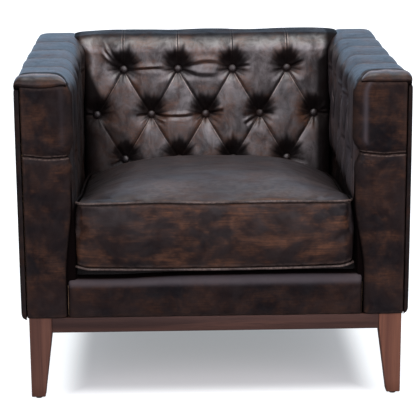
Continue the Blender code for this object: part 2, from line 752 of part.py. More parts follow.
def add_facing(hand, side, leather):
    """The padded front of an arm: rounded along its edges and creased by one level seam."""
    near_seam = FACING_SEAM + np.array([-0.03, -0.012, -0.004, 0.0, 0.004, 0.012, 0.03])
    heights = [BODY_BOTTOM, BODY_BOTTOM + 0.01, 0.26, BORDER_TOP + 0.001, BORDER_TOP + 0.016, 0.38, 0.50]
    heights += list(near_seam) + [0.68, FACING_TOP - 0.014, FACING_TOP - 0.004, FACING_TOP]
    z = np.array(heights)[:, None]
    share = np.array([0.0, 0.03, 0.12, 0.5, 0.88, 0.97, 1.0])[None, :]
    inner = facing_inner(z)
    x = FACING_OUTER + (inner - FACING_OUTER) * share
    to_side = np.minimum(share, 1.0 - share) * (FACING_OUTER - inner)
    to_end = np.minimum(z - BODY_BOTTOM, FACING_TOP - z)
    edge = np.minimum(to_side, to_end)
    fall = 0.007 * (1.0 - smooth_step(edge / 0.014)) + 0.004 * np.exp(-(((z - FACING_SEAM) / 0.005) ** 2))
    y = FACING_FRONT + fall
    front = np.stack([side * x, y, z + 0 * share], axis=2)
    add_slab(f"arm_facing_{hand}", front, lambda px, py, pz: (px, FACING_BACK, pz), leather)


def add_front_border(leather):
    """The padded rail cover: it rounds over the front rail and ends behind it, beside the deck."""
    lip_back = DECK_FRONT - GAP
    lip_bottom = seat_plane(FRAME_FRONT, DECK_LIFT)
    rail_face = FRAME_FRONT - GAP
    outline = [(rail_face, BODY_BOTTOM), (BORDER_FRONT + 0.004, BODY_BOTTOM)]
    outline.append((BORDER_FRONT, BODY_BOTTOM + 0.012))
    centre_y, centre_z = BORDER_FRONT + BORDER_ROUND, BORDER_TOP - BORDER_ROUND
    for angle in np.linspace(0.0, math.pi / 2, 6):
        y = centre_y - BORDER_ROUND * math.cos(angle)
        outline.append((y, centre_z + BORDER_ROUND * math.sin(angle)))
    outline += [(lip_back, BORDER_TOP), (lip_back, lip_bottom), (rail_face, lip_bottom)]
    border = add_prism("front_border", outline, -BORDER_HALF_WIDTH, BORDER_HALF_WIDTH, leather, axis="x")
    border.data.shade_smooth()
    border.data.set_sharp_from_angle(angle=math.radians(40))


# --- Seat cushion -----------------------------------------------------------------------------
def cushion_outline(half_width, length, radius):
    """A rectangle with rounded corners, centred on the origin, with points along its sides."""
    corners = []
    for turn, (sign_x, sign_y) in enumerate(((1, 1), (-1, 1), (-1, -1), (1, -1))):
        centre = (sign_x * (half_width - radius), sign_y * (length / 2 - radius))
        for step in range(4):
            angle = math.pi / 2 * (turn + step / 3)
            corners.append((centre[0] + radius * math.cos(angle), centre[1] + radius * math.sin(angle)))
    points = []
    for index, point in enumerate(corners):
        points.append(point)
        after = corners[(index + 1) % len(corners)]
        if index % 4 == 3:
            points += [
                (point[0] + (after[0] - point[0]) * share, point[1] + (after[1] - point[1]) * share)
                for share in (0.25, 0.5, 0.75)
            ]
    return points


def cushion_rings():
    """(Scale of the outline, height) from the underside up to the crown, with both lines of piping."""
    low = CUSHION_BELLY
    high = CUSHION_BELLY + CUSHION_BOXING
    rings = [(share, low * share**3) for share in (0.4, 0.8, 0.97)]
    pipe = PIPING_RADIUS / CUSHION_HALF_WIDTH
    for level in (low, high):
        rings += [(1.0 - pipe, level - PIPING_RADIUS), (1.0, level), (1.0 - pipe, level + PIPING_RADIUS)]
        if level == low:
            rings.append((1.0 - pipe / 2, low + CUSHION_BOXING / 2))
    rings += [(share, high + CUSHION_CROWN * (1.0 - share**2.4)) for share in (0.95, 0.85, 0.65, 0.4, 0.15)]
    return rings


def add_cushion(leather):
    """The loose box cushion, lying on the sloping deck."""
    length = (CUSHION_BACK - CUSHION_FRONT) / math.cos(SEAT_PITCH)
    outline = cushion_outline(CUSHION_HALF_WIDTH, length, CUSHION_CORNER)
    rings = cushion_rings()
    count = len(outline)
    points = [(x * scale, y * scale + length / 2, height) for scale, height in rings for x, y in outline]
    points += [(0.0, length / 2, 0.0), (0.0, length / 2, CUSHION_BELLY + CUSHION_BOXING + CUSHION_CROWN)]
    faces = []
    for ring in range(0, (len(rings) - 1) * count, count):
        for i in range(count):
            j = (i + 1) % count
            faces.append((ring + i, ring + j, ring + count + j, ring + count + i))
    top = (len(rings) - 1) * count
    for i in range(count):
        j = (i + 1) % count
        faces += [(i, j, len(points) - 2), (top + i, top + j, len(points) - 1)]
    cushion = link_mesh("seat_cushion", mesh_from_faces("seat_cushion", points, faces), leather)
    cushion.data.shade_smooth()
    cushion.data.set_sharp_from_angle(angle=math.radians(50))
    cushion.location = (0.0, CUSHION_FRONT, deck_height(CUSHION_FRONT) + GAP)
    cushion.rotation_euler = (-SEAT_PITCH, 0.0, 0.0)


def main():
    clear_scene()
    leather = material("hand_rubbed_leather", LEATHER, 0.42)
    walnut = material("walnut", WALNUT, 0.45)
    hardwood = material("frame_hardwood", HARDWOOD, 0.70)
    steel = material("spring_steel", STEEL, 0.40, metallic=1.0)
    plastic = material("black_plastic", BLACK_PLASTIC, 0.50)
    cloth = material("black_cloth", BLACK_CLOTH, 0.90)
    add_base(walnut, plastic)
    add_seat_frame(hardwood)
    add_corner_blocks(hardwood)
    add_back_frame(hardwood)
    add_springs(steel)
    add_deck(cloth)
    add_dust_cover(cloth)
    add_inside_back(leather)
    add_outside_back(leather)
    add_front_border(leather)
    add_cushion(leather)
    for hand, side in SIDES:
        add_arm_frame(hand, side, hardwood)
        add_inside_arm(hand, side, leather)
        add_outside_arm(hand, side, leather)
        add_facing(hand, side, leather)


main()
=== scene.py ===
# %% [markdown]
# # A worn leather club chair
# The chair is a low box: a hardwood frame on a walnut plinth, padded all round and covered in dark
# brown leather. The insides of the arms and of the back are deep-buttoned. A loose box cushion fills
# the seat. Every cell below makes one kind of piece, says what it is on the real chair, and why it is
# made in the way it is. All lengths are in metres, +Z is up, and the front faces -Y.

# %% Load the frame
import math

import bmesh
import bpy
import numpy as np
from mathutils import Matrix, Vector
from mathutils.kdtree import KDTree


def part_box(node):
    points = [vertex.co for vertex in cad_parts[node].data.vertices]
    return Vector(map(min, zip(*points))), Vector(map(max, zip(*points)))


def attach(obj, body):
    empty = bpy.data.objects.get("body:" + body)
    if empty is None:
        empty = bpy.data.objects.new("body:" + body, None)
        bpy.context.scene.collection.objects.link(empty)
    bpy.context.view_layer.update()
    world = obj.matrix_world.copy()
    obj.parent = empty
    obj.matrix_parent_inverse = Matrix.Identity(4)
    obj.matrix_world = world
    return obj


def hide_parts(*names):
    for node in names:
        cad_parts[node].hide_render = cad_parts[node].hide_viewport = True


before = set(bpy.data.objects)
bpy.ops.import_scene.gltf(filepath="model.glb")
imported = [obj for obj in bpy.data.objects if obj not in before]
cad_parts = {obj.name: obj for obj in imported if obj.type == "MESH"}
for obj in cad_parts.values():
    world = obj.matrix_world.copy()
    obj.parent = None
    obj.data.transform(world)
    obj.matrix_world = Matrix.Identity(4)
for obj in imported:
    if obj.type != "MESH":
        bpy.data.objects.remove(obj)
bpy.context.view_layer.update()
SIDES = (("left", -1), ("right", 1))
QUARTER = math.pi / 2

# %% [markdown]
# ## Tools for surfaces
# Most pieces are surfaces worked out as whole arrays: a grid of points, given by a function of two
# parameters, becomes a mesh of quads. A grid can carry values for the material too, such as where a
# fold is dark or where the leather is rubbed. The grid's edge is then closed with flat faces, so that
# each piece is a solid with an outside.

# %% Mesh helpers
def grid_quads(rows, columns, wrap=False):
    """Corner numbers of the quads of a grid; wrap joins its last column to its first."""
    row = np.arange(rows - 1)[:, None]
    column = np.arange(columns if wrap else columns - 1)[None, :]
    after = (column + 1) % columns
    near, far = row * columns, (row + 1) * columns
    return np.stack((near + column, near + after, far + after, far + column), axis=2).reshape(-1, 4)


def grid_of(x, y, z):
    """Three coordinates, each a number, a row, a column or a table, as one table of points."""
    return np.stack(np.broadcast_arrays(x, y, z), axis=2)


def build_mesh(name, points, polygons):
    """A mesh from an (n, 3) array of points and a list of polygon arrays, each (m, corners)."""
    mesh = bpy.data.meshes.new(name)
    loops = np.concatenate([np.asarray(group).ravel() for group in polygons]).astype(np.int32)
    sizes = np.concatenate([np.full(len(group), np.shape(group)[1]) for group in polygons])
    starts = np.concatenate(([0], np.cumsum(sizes)[:-1])).astype(np.int32)
    mesh.vertices.add(len(points))
    mesh.vertices.foreach_set("co", np.asarray(points, np.float32).ravel())
    mesh.loops.add(len(loops))
    mesh.loops.foreach_set("vertex_index", loops)
    mesh.polygons.add(len(starts))
    mesh.polygons.foreach_set("loop_start", starts)
    mesh.update(calc_edges=True)
    return mesh


def turn_outwards(mesh):
    """Makes every face of a closed shell point outwards, which is when its volume counts as positive."""
    shell = bmesh.new()
    shell.from_mesh(mesh)
    bmesh.ops.recalc_face_normals(shell, faces=shell.faces)
    if shell.calc_volume(signed=True) < 0.0:
        bmesh.ops.reverse_faces(shell, faces=shell.faces)
    shell.to_mesh(mesh)
    shell.free()


def vectors_of(items, key):
    """The vectors stored under a key for all items of a mesh, as an (n, 3) array."""
    flat = np.zeros(len(items) * 3, np.float32)
    items.foreach_get(key, flat)
    return flat.reshape(-1, 3).astype(float)


def give_values(mesh, values):
    """Stores named per-point values, each an array with one number for each point."""
    for name, value in values.items():
        layer = mesh.attributes.new(name, "FLOAT", "POINT")
        layer.data.foreach_set("value", np.asarray(value, np.float32).ravel())


print("quads in a grid of 3 by 4 points:", len(grid_quads(3, 4)))

# %% A finished piece
def add_piece(name, mesh, coat, replaced=(), smooth_angle=50.0):
    """Links a finished mesh as a piece of the chair: coated, smoothed, and riding on its one body."""
    turn_outwards(mesh)
    piece = bpy.data.objects.new(name, mesh)
    mesh.materials.append(coat)
    bpy.context.scene.collection.objects.link(piece)
    mesh.shade_smooth()
    mesh.set_sharp_from_angle(angle=math.radians(smooth_angle))
    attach(piece, "root")
    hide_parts(*replaced)
    print(f"{name}: {len(mesh.polygons)} faces")
    return piece


print("every piece rides on the body root")

# %% [markdown]
# ## Formulas for soft things
# Padding has no straight lines. These few curves and one noise make every bulge, turn and dent.

# %% Curves
def smooth_step(value):
    """0 below 0, 1 above 1, and 3v^2 - 2v^3 between."""
    share = unit(value)
    return share * share * (3.0 - 2.0 * share)


def up_from(value, start, over):
    """Climbs smoothly from 0 at start to 1 at start + over."""
    return smooth_step((value - start) / over)


def down_to(value, end, over):
    """Falls smoothly from 1 at end - over to 0 at end."""
    return smooth_step((end - value) / over)


def unit(value):
    """The value, kept between 0 and 1."""
    return np.clip(value, 0.0, 1.0)


def bump(distance, width):
    """A round hill of height 1: e to the minus (distance / width) squared."""
    return np.exp(-((distance / width) ** 2))


def swell(share):
    """A soft bulge: 0 at both ends and nearly 1 over most of the middle."""
    return 1.0 - np.abs(2.0 * share - 1.0) ** 3


def turn_in(inset, width):
    """How far a rounded edge has turned in: nearly 1 at the edge, 0 at width from it, on a quarter circle."""
    return 1.0 - np.sqrt(1.0 - 0.98 * unit(1.0 - inset / width) ** 2)


def stretches(*spans):
    """One run of numbers made of evenly spaced stretches, each (first, last, count)."""
    return np.concatenate([np.linspace(*span) for span in spans])


def per_side(side, left, right):
    """The value for the arm on this side. The two arms were stuffed and sewn one after the other, and
    the light falls on them differently, so their painted shade and sheen differ as well.
    """
    return left if side < 0 else right


print("a smooth step at 0.25, 0.5 and 0.75:", smooth_step(np.array([0.25, 0.5, 0.75])))

# %% Noise and creases
def soft_noise(u, v, size, seed):
    """Values from -1 to 1 that drift over about size: random numbers on a lattice, blended smoothly."""
    table = np.random.default_rng(seed).uniform(-1.0, 1.0, (64, 64))
    a, b = np.asarray(u) / size + 200.0, np.asarray(v) / size + 200.0
    a0, b0 = np.floor(a).astype(int), np.floor(b).astype(int)
    fa, fb = smooth_step(a - a0), smooth_step(b - b0)
    near, far = a0 % 64, (a0 + 1) % 64
    low, high = b0 % 64, (b0 + 1) % 64
    bottom = table[near, low] * (1 - fa) + table[far, low] * fa
    upper = table[near, high] * (1 - fa) + table[far, high] * fa
    return bottom * (1 - fb) + upper * fb


def fold(u, v, start, end, width, rise, lean=0.0):
    """A soft crease along a line from start to end: a groove with a ridge on its left side.

    With d the distance from the line, it goes as (d/w) e^-(d/w)^2, and it fades towards both ends.
    lean bows the line sideways.
    """
    u0, v0, u1, v1 = *start, *end
    length = math.hypot(u1 - u0, v1 - v0)
    du, dv = (u1 - u0) / length, (v1 - v0) / length
    along = ((u - u0) * du + (v - v0) * dv) / length
    aside = (v - v0) * du - (u - u0) * dv - lean * 4.0 * along * (1.0 - along)
    reach = smooth_step(along / 0.15 + 0.3) * down_to(along, 1.0, 0.35)
    share = aside / width
    return rise * 1.8 * share * np.exp(-(share**2)) * reach


print("a row of noise:", np.round(soft_noise(np.arange(5) * 0.3, np.zeros(5), 1.0, 1), 2))

# %% [markdown]
# ## Tools for materials
# A material is a net of nodes. Here the output of a node is a value that can be added and multiplied,
# so a mask reads as a formula. Effects that more than one material needs are node groups with named
# inputs and outputs.

# %% Values and wires
class Value:
    """One output of a node. Adding, subtracting or multiplying it places a Math node."""

    def __init__(self, socket):
        self.socket, self.tree = socket, socket.id_data

    def maths(self, operation, first, second=0.0):
        return node(self.tree, "ShaderNodeMath", {0: first, 1: second}, operation=operation)

    def __add__(self, other):
        return self.maths("ADD", self, other)

    def __sub__(self, other):
        return self.maths("SUBTRACT", self, other)

    def __rsub__(self, other):
        return self.maths("SUBTRACT", other, self)

    def __mul__(self, other):
        return self.maths("MULTIPLY", self, other)

    def __abs__(self):
        return self.maths("ABSOLUTE", self)

    __radd__, __rmul__ = __add__, __mul__


def wire(made, inputs):
    """Fills the inputs of a node, by name or number, with constants or with values of other nodes."""
    for key, value in inputs.items():
        if isinstance(value, Value):
            made.id_data.links.new(value.socket, made.inputs[key])
        else:
            made.inputs[key].default_value = value


def node(tree, kind, inputs=None, output=0, **settings):
    """Adds a node and returns one of its outputs."""
    made = tree.nodes.new(kind)
    for key, value in settings.items():
        setattr(made, key, value)
    wire(made, inputs or {})
    return Value(made.outputs[output])


print("a node's output takes +, - and *")

# %% Common nodes
def between(value, low, high):
    """Turns the range low..high into 0..1, smoothly and clamped."""
    inputs = {"Value": value, "From Min": low, "From Max": high}
    return node(value.tree, "ShaderNodeMapRange", inputs, "Result", interpolation_type="SMOOTHSTEP")


def largest(first, second):
    return first.maths("MAXIMUM", first, second)


def blend(share, first, second):
    """The colour between first and second."""
    return node(share.tree, "ShaderNodeMix", {0: share, 6: first, 7: second}, 2, data_type="RGBA")


def noise(where, scale, detail=3.0, roughness=0.55, distortion=0.0):
    """The 0..1 value of a noise texture; scale is in cells a metre."""
    inputs = {"Vector": where, "Scale": scale, "Detail": detail, "Roughness": roughness}
    return node(where.tree, "ShaderNodeTexNoise", {**inputs, "Distortion": distortion}, "Fac")


def mapped(where, **change):
    """Coordinates with a Scale that squeezes them along the three axes, or with a Rotation."""
    return node(where.tree, "ShaderNodeMapping", {"Vector": where, **change})


def axes(where):
    """The three coordinates as single values."""
    first = node(where.tree, "ShaderNodeSeparateXYZ", {0: where})
    return [Value(socket) for socket in first.socket.node.outputs]


def attribute(tree, name):
    """A value that the mesh carries for each of its points."""
    return node(tree, "ShaderNodeAttribute", output="Fac", attribute_name=name)


def raised(height, strength):
    """The normal of a surface that is raised by height, in metres."""
    return node(height.tree, "ShaderNodeBump", {"Height": height, "Strength": strength, "Distance": 1.0})


print("nodes for noise, ramps, colours, values of the mesh, and bumps")

# %% Groups and materials
def new_group(name, inputs, outputs):
    """An empty node group. An input's kind follows from its default: None is a vector, a tuple a colour."""
    tree = bpy.data.node_groups.new(name, "ShaderNodeTree")
    for label, default in inputs.items():
        kind = {type(None): "Vector", tuple: "Color", float: "Float"}[type(default)]
        socket = tree.interface.new_socket(label, in_out="INPUT", socket_type=f"NodeSocket{kind}")
        if default is not None:
            socket.default_value = default
    for label in outputs:
        kind = "Color" if label == "Color" else "Float"
        tree.interface.new_socket(label, in_out="OUTPUT", socket_type=f"NodeSocket{kind}")
    given = tree.nodes.new("NodeGroupInput").outputs
    return {label: Value(given[label]) for label in inputs}, tree.nodes.new("NodeGroupOutput")


def use_group(tree, group, inputs):
    """Places a node group with its own values and returns its outputs by name."""
    made = tree.nodes.new("ShaderNodeGroup")
    made.node_tree = group
    wire(made, inputs)
    return {socket.name: Value(socket) for socket in made.outputs}


def new_material(name):
    """A material with one Principled shader, and the object's own coordinates."""
    coat = bpy.data.materials.new(name)
    coat.use_nodes = True
    where = node(coat.node_tree, "ShaderNodeTexCoord", output="Object")
    return coat, coat.node_tree.nodes["Principled BSDF"], where


print("tools for materials are ready")

# %% [markdown]
# ## Leather
# The leather is dark brown, and hand rubbing has worn it to rust and tan on the high places and along
# the seams; its hollows are darkened by painted shade. One node group gives the hide itself, with its
# mottled colour, its uneven polish and its grain. The pieces carry values of their own for worn tan
# and painted highlights, for pale painted sheen, and for painted shade, such as the dark line at the
# bottom of a fold.

# %% The hide
DARK_HIDE = (0.0050, 0.0044, 0.0053, 1.0)
BROWN_HIDE = (0.0140, 0.0092, 0.0086, 1.0)
RUST_HIDE = (0.092, 0.043, 0.024, 1.0)
TAN_WEAR_AND_HIGHLIGHT = (0.22, 0.165, 0.140, 1.0)
PAINTED_SHEEN = (0.068, 0.061, 0.068, 1.0)
FOLD_SHADOW = (0.003, 0.002, 0.002, 1.0)


def make_hide_group():
    """Mottled hide: slow noises choose between browns, dry brushed ones lay rust on, cells give grain."""
    masks = {"Rust": 0.5, "Wear and highlight": 0.0, "Shadow": 0.0, "Painted sheen": 0.0, "Polish": 0.5, "Unevenness": 1.0}
    given, result = new_group("hide", {"Vector": None, **masks}, ("Color", "Roughness", "Shine", "Height"))
    where, shadow = given["Vector"], given["Shadow"]
    drawn = mapped(where, Scale=(1.0, 1.0, 0.62))
    brush = noise(drawn, 95.0, 5.0, 0.72, 0.3)
    quick = noise(where, 170.0, 3.0, 0.6)
    crossed = noise(mapped(where, Scale=(0.20, 0.20, 1.7)), 150.0, 3.0, 0.7)
    dry = 0.30 + 0.70 * between(0.45 * brush + 0.55 * crossed, 0.40, 0.62)
    rubbed_off = between(noise(where, 15.0, 4.0, 0.62, 0.35), 0.42, 0.66) * dry

    colour = blend(between(noise(where, 9.0, 4.0, 0.6, 0.4), 0.34, 0.66), DARK_HIDE, BROWN_HIDE)
    colour = blend(rubbed_off * given["Rust"], colour, RUST_HIDE)
    colour = blend(0.30 * between(quick, 0.35, 0.8), colour, BROWN_HIDE)
    # Each by its mask: a pale painted sheen, then tan for worn places and painted highlights, then painted
    # shade.
    colour = blend(given["Painted sheen"], colour, PAINTED_SHEEN)
    colour = blend(given["Wear and highlight"] * (0.35 + between(quick, 0.35, 0.62)), colour, TAN_WEAR_AND_HIGHLIGHT)
    colour = blend(shadow, colour, FOLD_SHADOW)
    roughness = 0.30 * (brush - 0.5) + (0.62 - 0.30 * given["Polish"]) + 0.3 * shadow
    dull = between(noise(drawn, 30.0, 4.0, 0.65, 0.6), 0.30, 0.72)
    shine = (1.0 - (dull - 0.45) * given["Unevenness"]) * (1.0 - 0.45 * rubbed_off) * (1.0 - 0.93 * shadow)
    cell = {"Vector": where, "Scale": 520.0}
    edges = node(where.tree, "ShaderNodeTexVoronoi", cell, "Distance", feature="DISTANCE_TO_EDGE")
    crumple = noise(where, 48.0, 3.0, 0.55, 0.6)
    height = 0.00006 * between(edges, 0.0, 0.25) + 0.00030 * quick + 0.0012 * crumple
    wire(result, {"Color": colour, "Roughness": roughness, "Shine": shine, "Height": height})
    return where.tree


HIDE = make_hide_group()
print("nodes of the hide:", len(HIDE.nodes))

# %% Leather materials
def make_leather(name, rust, polish, shine, crumple=1.0, folded=False, drawn=(1.0, 1.0, 1.0), uneven=1.0):
    """A leather material, whose masks come from the values that a piece carries.

    rust adds to the material's own, and dull takes away its shine. drawn below 1 draws the mottling
    out along that axis, and folded adds the crease lines of the buttoning: a thin line of painted shade
    with a painted highlight along its lower side.
    """
    coat, shader, where = new_material(name)
    labels = ("wear_and_highlight", "shadow", "painted_sheen", "rust", "dull")
    wear_and_highlight, shadow, painted_sheen, more_rust, dull = (attribute(where.tree, label) for label in labels)
    if folded:
        wear_and_highlight, shadow = fold_lines(where, wear_and_highlight, shadow)
    masks = {"Wear and highlight": wear_and_highlight, "Shadow": shadow, "Painted sheen": painted_sheen, "Rust": more_rust + rust}
    masks |= {"Vector": mapped(where, Scale=drawn), "Polish": polish, "Unevenness": uneven}
    hide = use_group(where.tree, HIDE, masks)
    wire(shader, {
        "Base Color": hide["Color"],
        "Roughness": hide["Roughness"],
        "Specular IOR Level": hide["Shine"] * ((1.0 - dull) * shine),
        "Normal": raised(hide["Height"], 0.8 * crumple),
    })
    return coat


def fold_lines(where, wear_and_highlight, shadow):
    """Thin lines of painted shade at the whole turns of the fold map, with a painted highlight along their
    lower side.
    """
    rising, falling, _ = axes(node(where.tree, "ShaderNodeUVMap", uv_map="folds"))
    wobble = 0.012 * (noise(where, 60.0) - 0.5)
    patchy = between(noise(where, 22.0, 2.0), 0.38, 0.62)
    for turns, below in ((rising, 1.0), (falling, -1.0)):
        shifted = turns + wobble + 0.5
        beside = shifted.maths("FRACT", shifted) - 0.5
        shadow = largest(shadow, 0.9 * (1.0 - between(abs(beside), 0.003, 0.012)))
        light = 1.0 - between(abs(below * beside - 0.022), 0.003, 0.011)
        wear_and_highlight = largest(wear_and_highlight, light * (0.20 + 0.45 * patchy))
    return wear_and_highlight, shadow


LEATHER_PLAIN = make_leather("leather_panels", 0.60, 0.45, 0.28)
LEATHER_FOLDED = make_leather("leather_buttoned", 0.60, 0.85, 0.75, 0.7, True)
LEATHER_BACK = make_leather("leather_back", 0.85, 0.85, 0.95, 0.7, True)
LEATHER_CAP = make_leather("leather_caps", 0.55, 0.80, 0.72, 0.8)
LEATHER_SEAT = make_leather("leather_seat", 0.30, 0.60, 0.45, 0.8, drawn=(0.45, 1.0, 0.9), uneven=0.90)
LEATHER_FRONT = make_leather("leather_facings", 0.50, 0.42, 0.07, drawn=(0.8, 1.0, 1.0))
LEATHER_CORD = make_leather("leather_piping", 0.20, 0.60, 0.35, 0.5)
LEATHER_BUTTON = make_leather("leather_buttons", 0.15, 0.80, 0.55, 0.4)
print("leather materials made")

# %% [markdown]
# ## Wood, steel, plastic and cloth
# The plinth and legs are walnut under a satin lacquer. Grain is a noise that is drawn out along the
# timber, so each direction of timber has its own material made from the same group. The frame inside
# is plain pale hardwood, and the springs, glides and cloths are simple finishes.

# %% Timber
def make_timber_group():
    """Timber along the X axis: rings seen as long bands, fine pores as short dark streaks."""
    colours = {"Light": (0.5, 0.35, 0.2, 1.0), "Dark": (0.2, 0.1, 0.05, 1.0)}
    inputs = {"Vector": None, **colours, "Pores": 0.5}
    given, result = new_group("timber", inputs, ("Color", "Roughness", "Height"))
    where, light, dark = given["Vector"], given["Light"], given["Dark"]
    bands = noise(mapped(where, Scale=(1.2, 30.0, 30.0)), 1.6, 4.0, 0.6, 0.8)
    pores = noise(mapped(where, Scale=(16.0, 420.0, 420.0)), 1.0, 2.0, 0.5)
    cloud = noise(mapped(where, Scale=(3.0, 9.0, 9.0)), 1.0, 2.0)
    tone = 0.75 * bands + 0.25 * cloud
    speck = (1.0 - between(pores, 0.30, 0.46)) * given["Pores"]
    colour = blend(speck, blend(between(tone, 0.36, 0.64), dark, light), dark)
    height = 0.00012 * (0.3 * tone - speck)
    wire(result, {"Color": colour, "Roughness": 0.36 + 0.16 * tone, "Height": height})
    return where.tree


TIMBER = make_timber_group()
GRAIN_TURNS = {"x": (0.0, 0.0, 0.0), "y": (0.0, 0.0, QUARTER), "z": (0.0, QUARTER, 0.0)}


def make_wood(name, axis, light, dark, pores, specular):
    """Wood whose grain runs along one axis, by turning the coordinates."""
    coat, shader, where = new_material(name)
    turned = mapped(where, Rotation=GRAIN_TURNS[axis])
    wood = use_group(where.tree, TIMBER, {"Vector": turned, "Light": light, "Dark": dark, "Pores": pores})
    wire(shader, {
        "Base Color": wood["Color"],
        "Roughness": wood["Roughness"],
        "Specular IOR Level": specular,
        "Normal": raised(wood["Height"], 0.6),
    })
    return coat


# The light and the dark of each timber. The right legs are painted lighter than the left ones, as if
# more light fell on them.
LEFT_LEGS = (0.104, 0.047, 0.0315, 1.0), (0.061, 0.027, 0.019, 1.0)
RIGHT_LEGS_PAINTED_LIGHTER = (0.158, 0.067, 0.040, 1.0), (0.095, 0.038, 0.025, 1.0)
PLINTH_RAILS = (0.062, 0.0295, 0.0215, 1.0), (0.027, 0.0132, 0.0108, 1.0)
PALE_WOOD = (0.56, 0.40, 0.24, 1.0), (0.40, 0.26, 0.14, 1.0)
WALNUT = {axis: make_wood(f"walnut_{axis}", axis, *PLINTH_RAILS, 0.6, 0.25) for axis in "xy"}
WALNUT["left"] = make_wood("walnut_left", "z", *LEFT_LEGS, 0.6, 0.25)
WALNUT["right"] = make_wood("walnut_right_painted_lighter", "z", *RIGHT_LEGS_PAINTED_LIGHTER, 0.4, 0.25)
HARDWOOD = {axis: make_wood(f"hardwood_{axis}", axis, *PALE_WOOD, 0.3, 0.3) for axis in "xyz"}
print("woods:", sorted(WALNUT), sorted(HARDWOOD))

# %% Plastic, steel and cloth
def darkened(colour, share):
    return tuple(share * channel for channel in colour[:3]) + (1.0,)


def make_plain(name, colour, rough, scale, depth, metallic=0.0):
    """A finish of one colour, mottled slightly, with a fine bump."""
    coat, shader, where = new_material(name)
    grain = noise(where, scale)
    wire(shader, {
        "Base Color": blend(grain, darkened(colour, 0.7), colour),
        "Roughness": (rough - 0.06) + 0.12 * grain,
        "Metallic": metallic,
        "Normal": raised(depth * grain, 0.7),
    })
    return coat


def make_cloth(name, colour, threads):
    """Woven cloth: two crossed waves, threads a metre, dark where they meet."""
    coat, shader, where = new_material(name)
    wave = {"Vector": where, "Scale": threads / 20.0, "Distortion": 0.2, "Detail": 1.0}
    warp, weft = (
        node(where.tree, "ShaderNodeTexWave", wave, "Fac", wave_type="BANDS", bands_direction=axis)
        for axis in "XY"
    )
    weave = warp * weft
    colour = blend(weave, darkened(colour, 0.4), colour)
    wire(shader, {"Base Color": colour, "Roughness": 0.9, "Normal": raised(0.0002 * weave, 0.8)})
    return coat


BLACK_PLASTIC = make_plain("glide_plastic", (0.016, 0.016, 0.017, 1.0), 0.50, 700.0, 0.00008)
SPRING_STEEL = make_plain("spring_steel", (0.42, 0.42, 0.43, 1.0), 0.38, 400.0, 0.00004, 1.0)
DECK_CLOTH = make_cloth("deck_cloth", (0.008, 0.0075, 0.0075, 1.0), 900.0)
DUST_CLOTH = make_cloth("dust_cloth", (0.030, 0.030, 0.031, 1.0), 1400.0)
print("plastic, steel and cloth materials made")

# %% [markdown]
# ## Legs and plinth
# A leg is square beside the plinth and tapers below it on its two inner sides. The edges of the real
# timber are eased by hand. A box with a Bevel would do, but here each leg is a stack of rounded
# squares, so that the eased edge and the taper are one surface.

# %% Rounded rings
LEG_TOP, LEG_FOOT, LEG_EASE = 0.054, 0.0335, 0.0022
PLINTH_TOP, PLINTH_BOTTOM, RAIL_EASE = 0.205, 0.168, 0.0016
GLIDE_TOP, FOOT_EASE = 0.006, 0.0012
LEG_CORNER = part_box("leg_front_right")
LEG_REACH_X, LEG_REACH_Y = LEG_CORNER[1].x, -LEG_CORNER[0].y


def rounded_rectangle(width, depth, radius, steps=4):
    """Points round a rectangle centred on 0 whose corners are quarter circles."""
    angle = np.concatenate([np.linspace(0, QUARTER, steps + 1) + turn * QUARTER for turn in range(4)])
    corner_x = np.repeat([1, -1, -1, 1], steps + 1) * (width / 2 - radius)
    corner_y = np.repeat([1, 1, -1, -1], steps + 1) * (depth / 2 - radius)
    return np.stack([corner_x + radius * np.cos(angle), corner_y + radius * np.sin(angle)], axis=1)


def stacked(rings):
    """A closed shell through equal rings of points, flat at both ends."""
    rings = np.asarray(rings)
    levels, count = rings.shape[:2]
    ends = np.array([np.arange(count), (levels - 1) * count + np.arange(count)])
    return rings.reshape(-1, 3), [grid_quads(levels, count, wrap=True), ends]


print("outer faces of the legs:", LEG_REACH_X, LEG_REACH_Y)

# %% Legs and plinth rails
def leg_shell(side, end):
    """Rounded squares from the glide up: width runs linearly from foot to plinth, outer faces upright."""
    tapered = [GLIDE_TOP, GLIDE_TOP + 0.0015, 0.036, 0.086, 0.136, PLINTH_BOTTOM - 0.0005]
    rings = []
    for height in (*tapered, PLINTH_BOTTOM + 0.001, PLINTH_TOP):
        share = unit((height - GLIDE_TOP) / (PLINTH_BOTTOM - GLIDE_TOP))
        width = LEG_FOOT + (LEG_TOP - LEG_FOOT) * share
        eased = width - (2 * FOOT_EASE if height == GLIDE_TOP else 0.0)
        centre = (side * (LEG_REACH_X - width / 2), end * (LEG_REACH_Y - width / 2))
        outline = rounded_rectangle(eased, eased, LEG_EASE) + centre
        rings.append(np.column_stack([outline, np.full(len(outline), height)]))
    return stacked(rings)


def rail_shell(low, high, axis):
    """A rounded rectangle carried along X or Y, drawn in slightly at both ends."""
    size = np.array(high) - np.array(low)
    outline = rounded_rectangle(size[1 - axis], size[2], RAIL_EASE)
    rings = []
    for share, shrink in ((-0.5, 0.9), (-0.498, 1.0), (0.498, 1.0), (0.5, 0.9)):
        ring = np.full((len(outline), 3), share * size[axis])
        ring[:, [1 - axis, 2]] = outline * shrink
        rings.append(ring + (np.array(high) + np.array(low)) / 2)
    return stacked(rings)


def add_timber(name, shell, coat, replaced):
    add_piece(name, build_mesh(name, *shell), coat, [replaced], 60.0)


for word, end in (("front", -1), ("back", 1)):
    for hand, side in SIDES:
        add_timber(f"{word}_{hand}_leg", leg_shell(side, end), WALNUT[hand], f"leg_{word}_{hand}")
for word, axis in (("front", 0), ("back", 0), ("left", 1), ("right", 1)):
    rail = rail_shell(*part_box(f"plinth_{word}"), axis)
    add_timber(f"{word}_plinth_rail", rail, WALNUT["xy"[axis]], f"plinth_{word}")
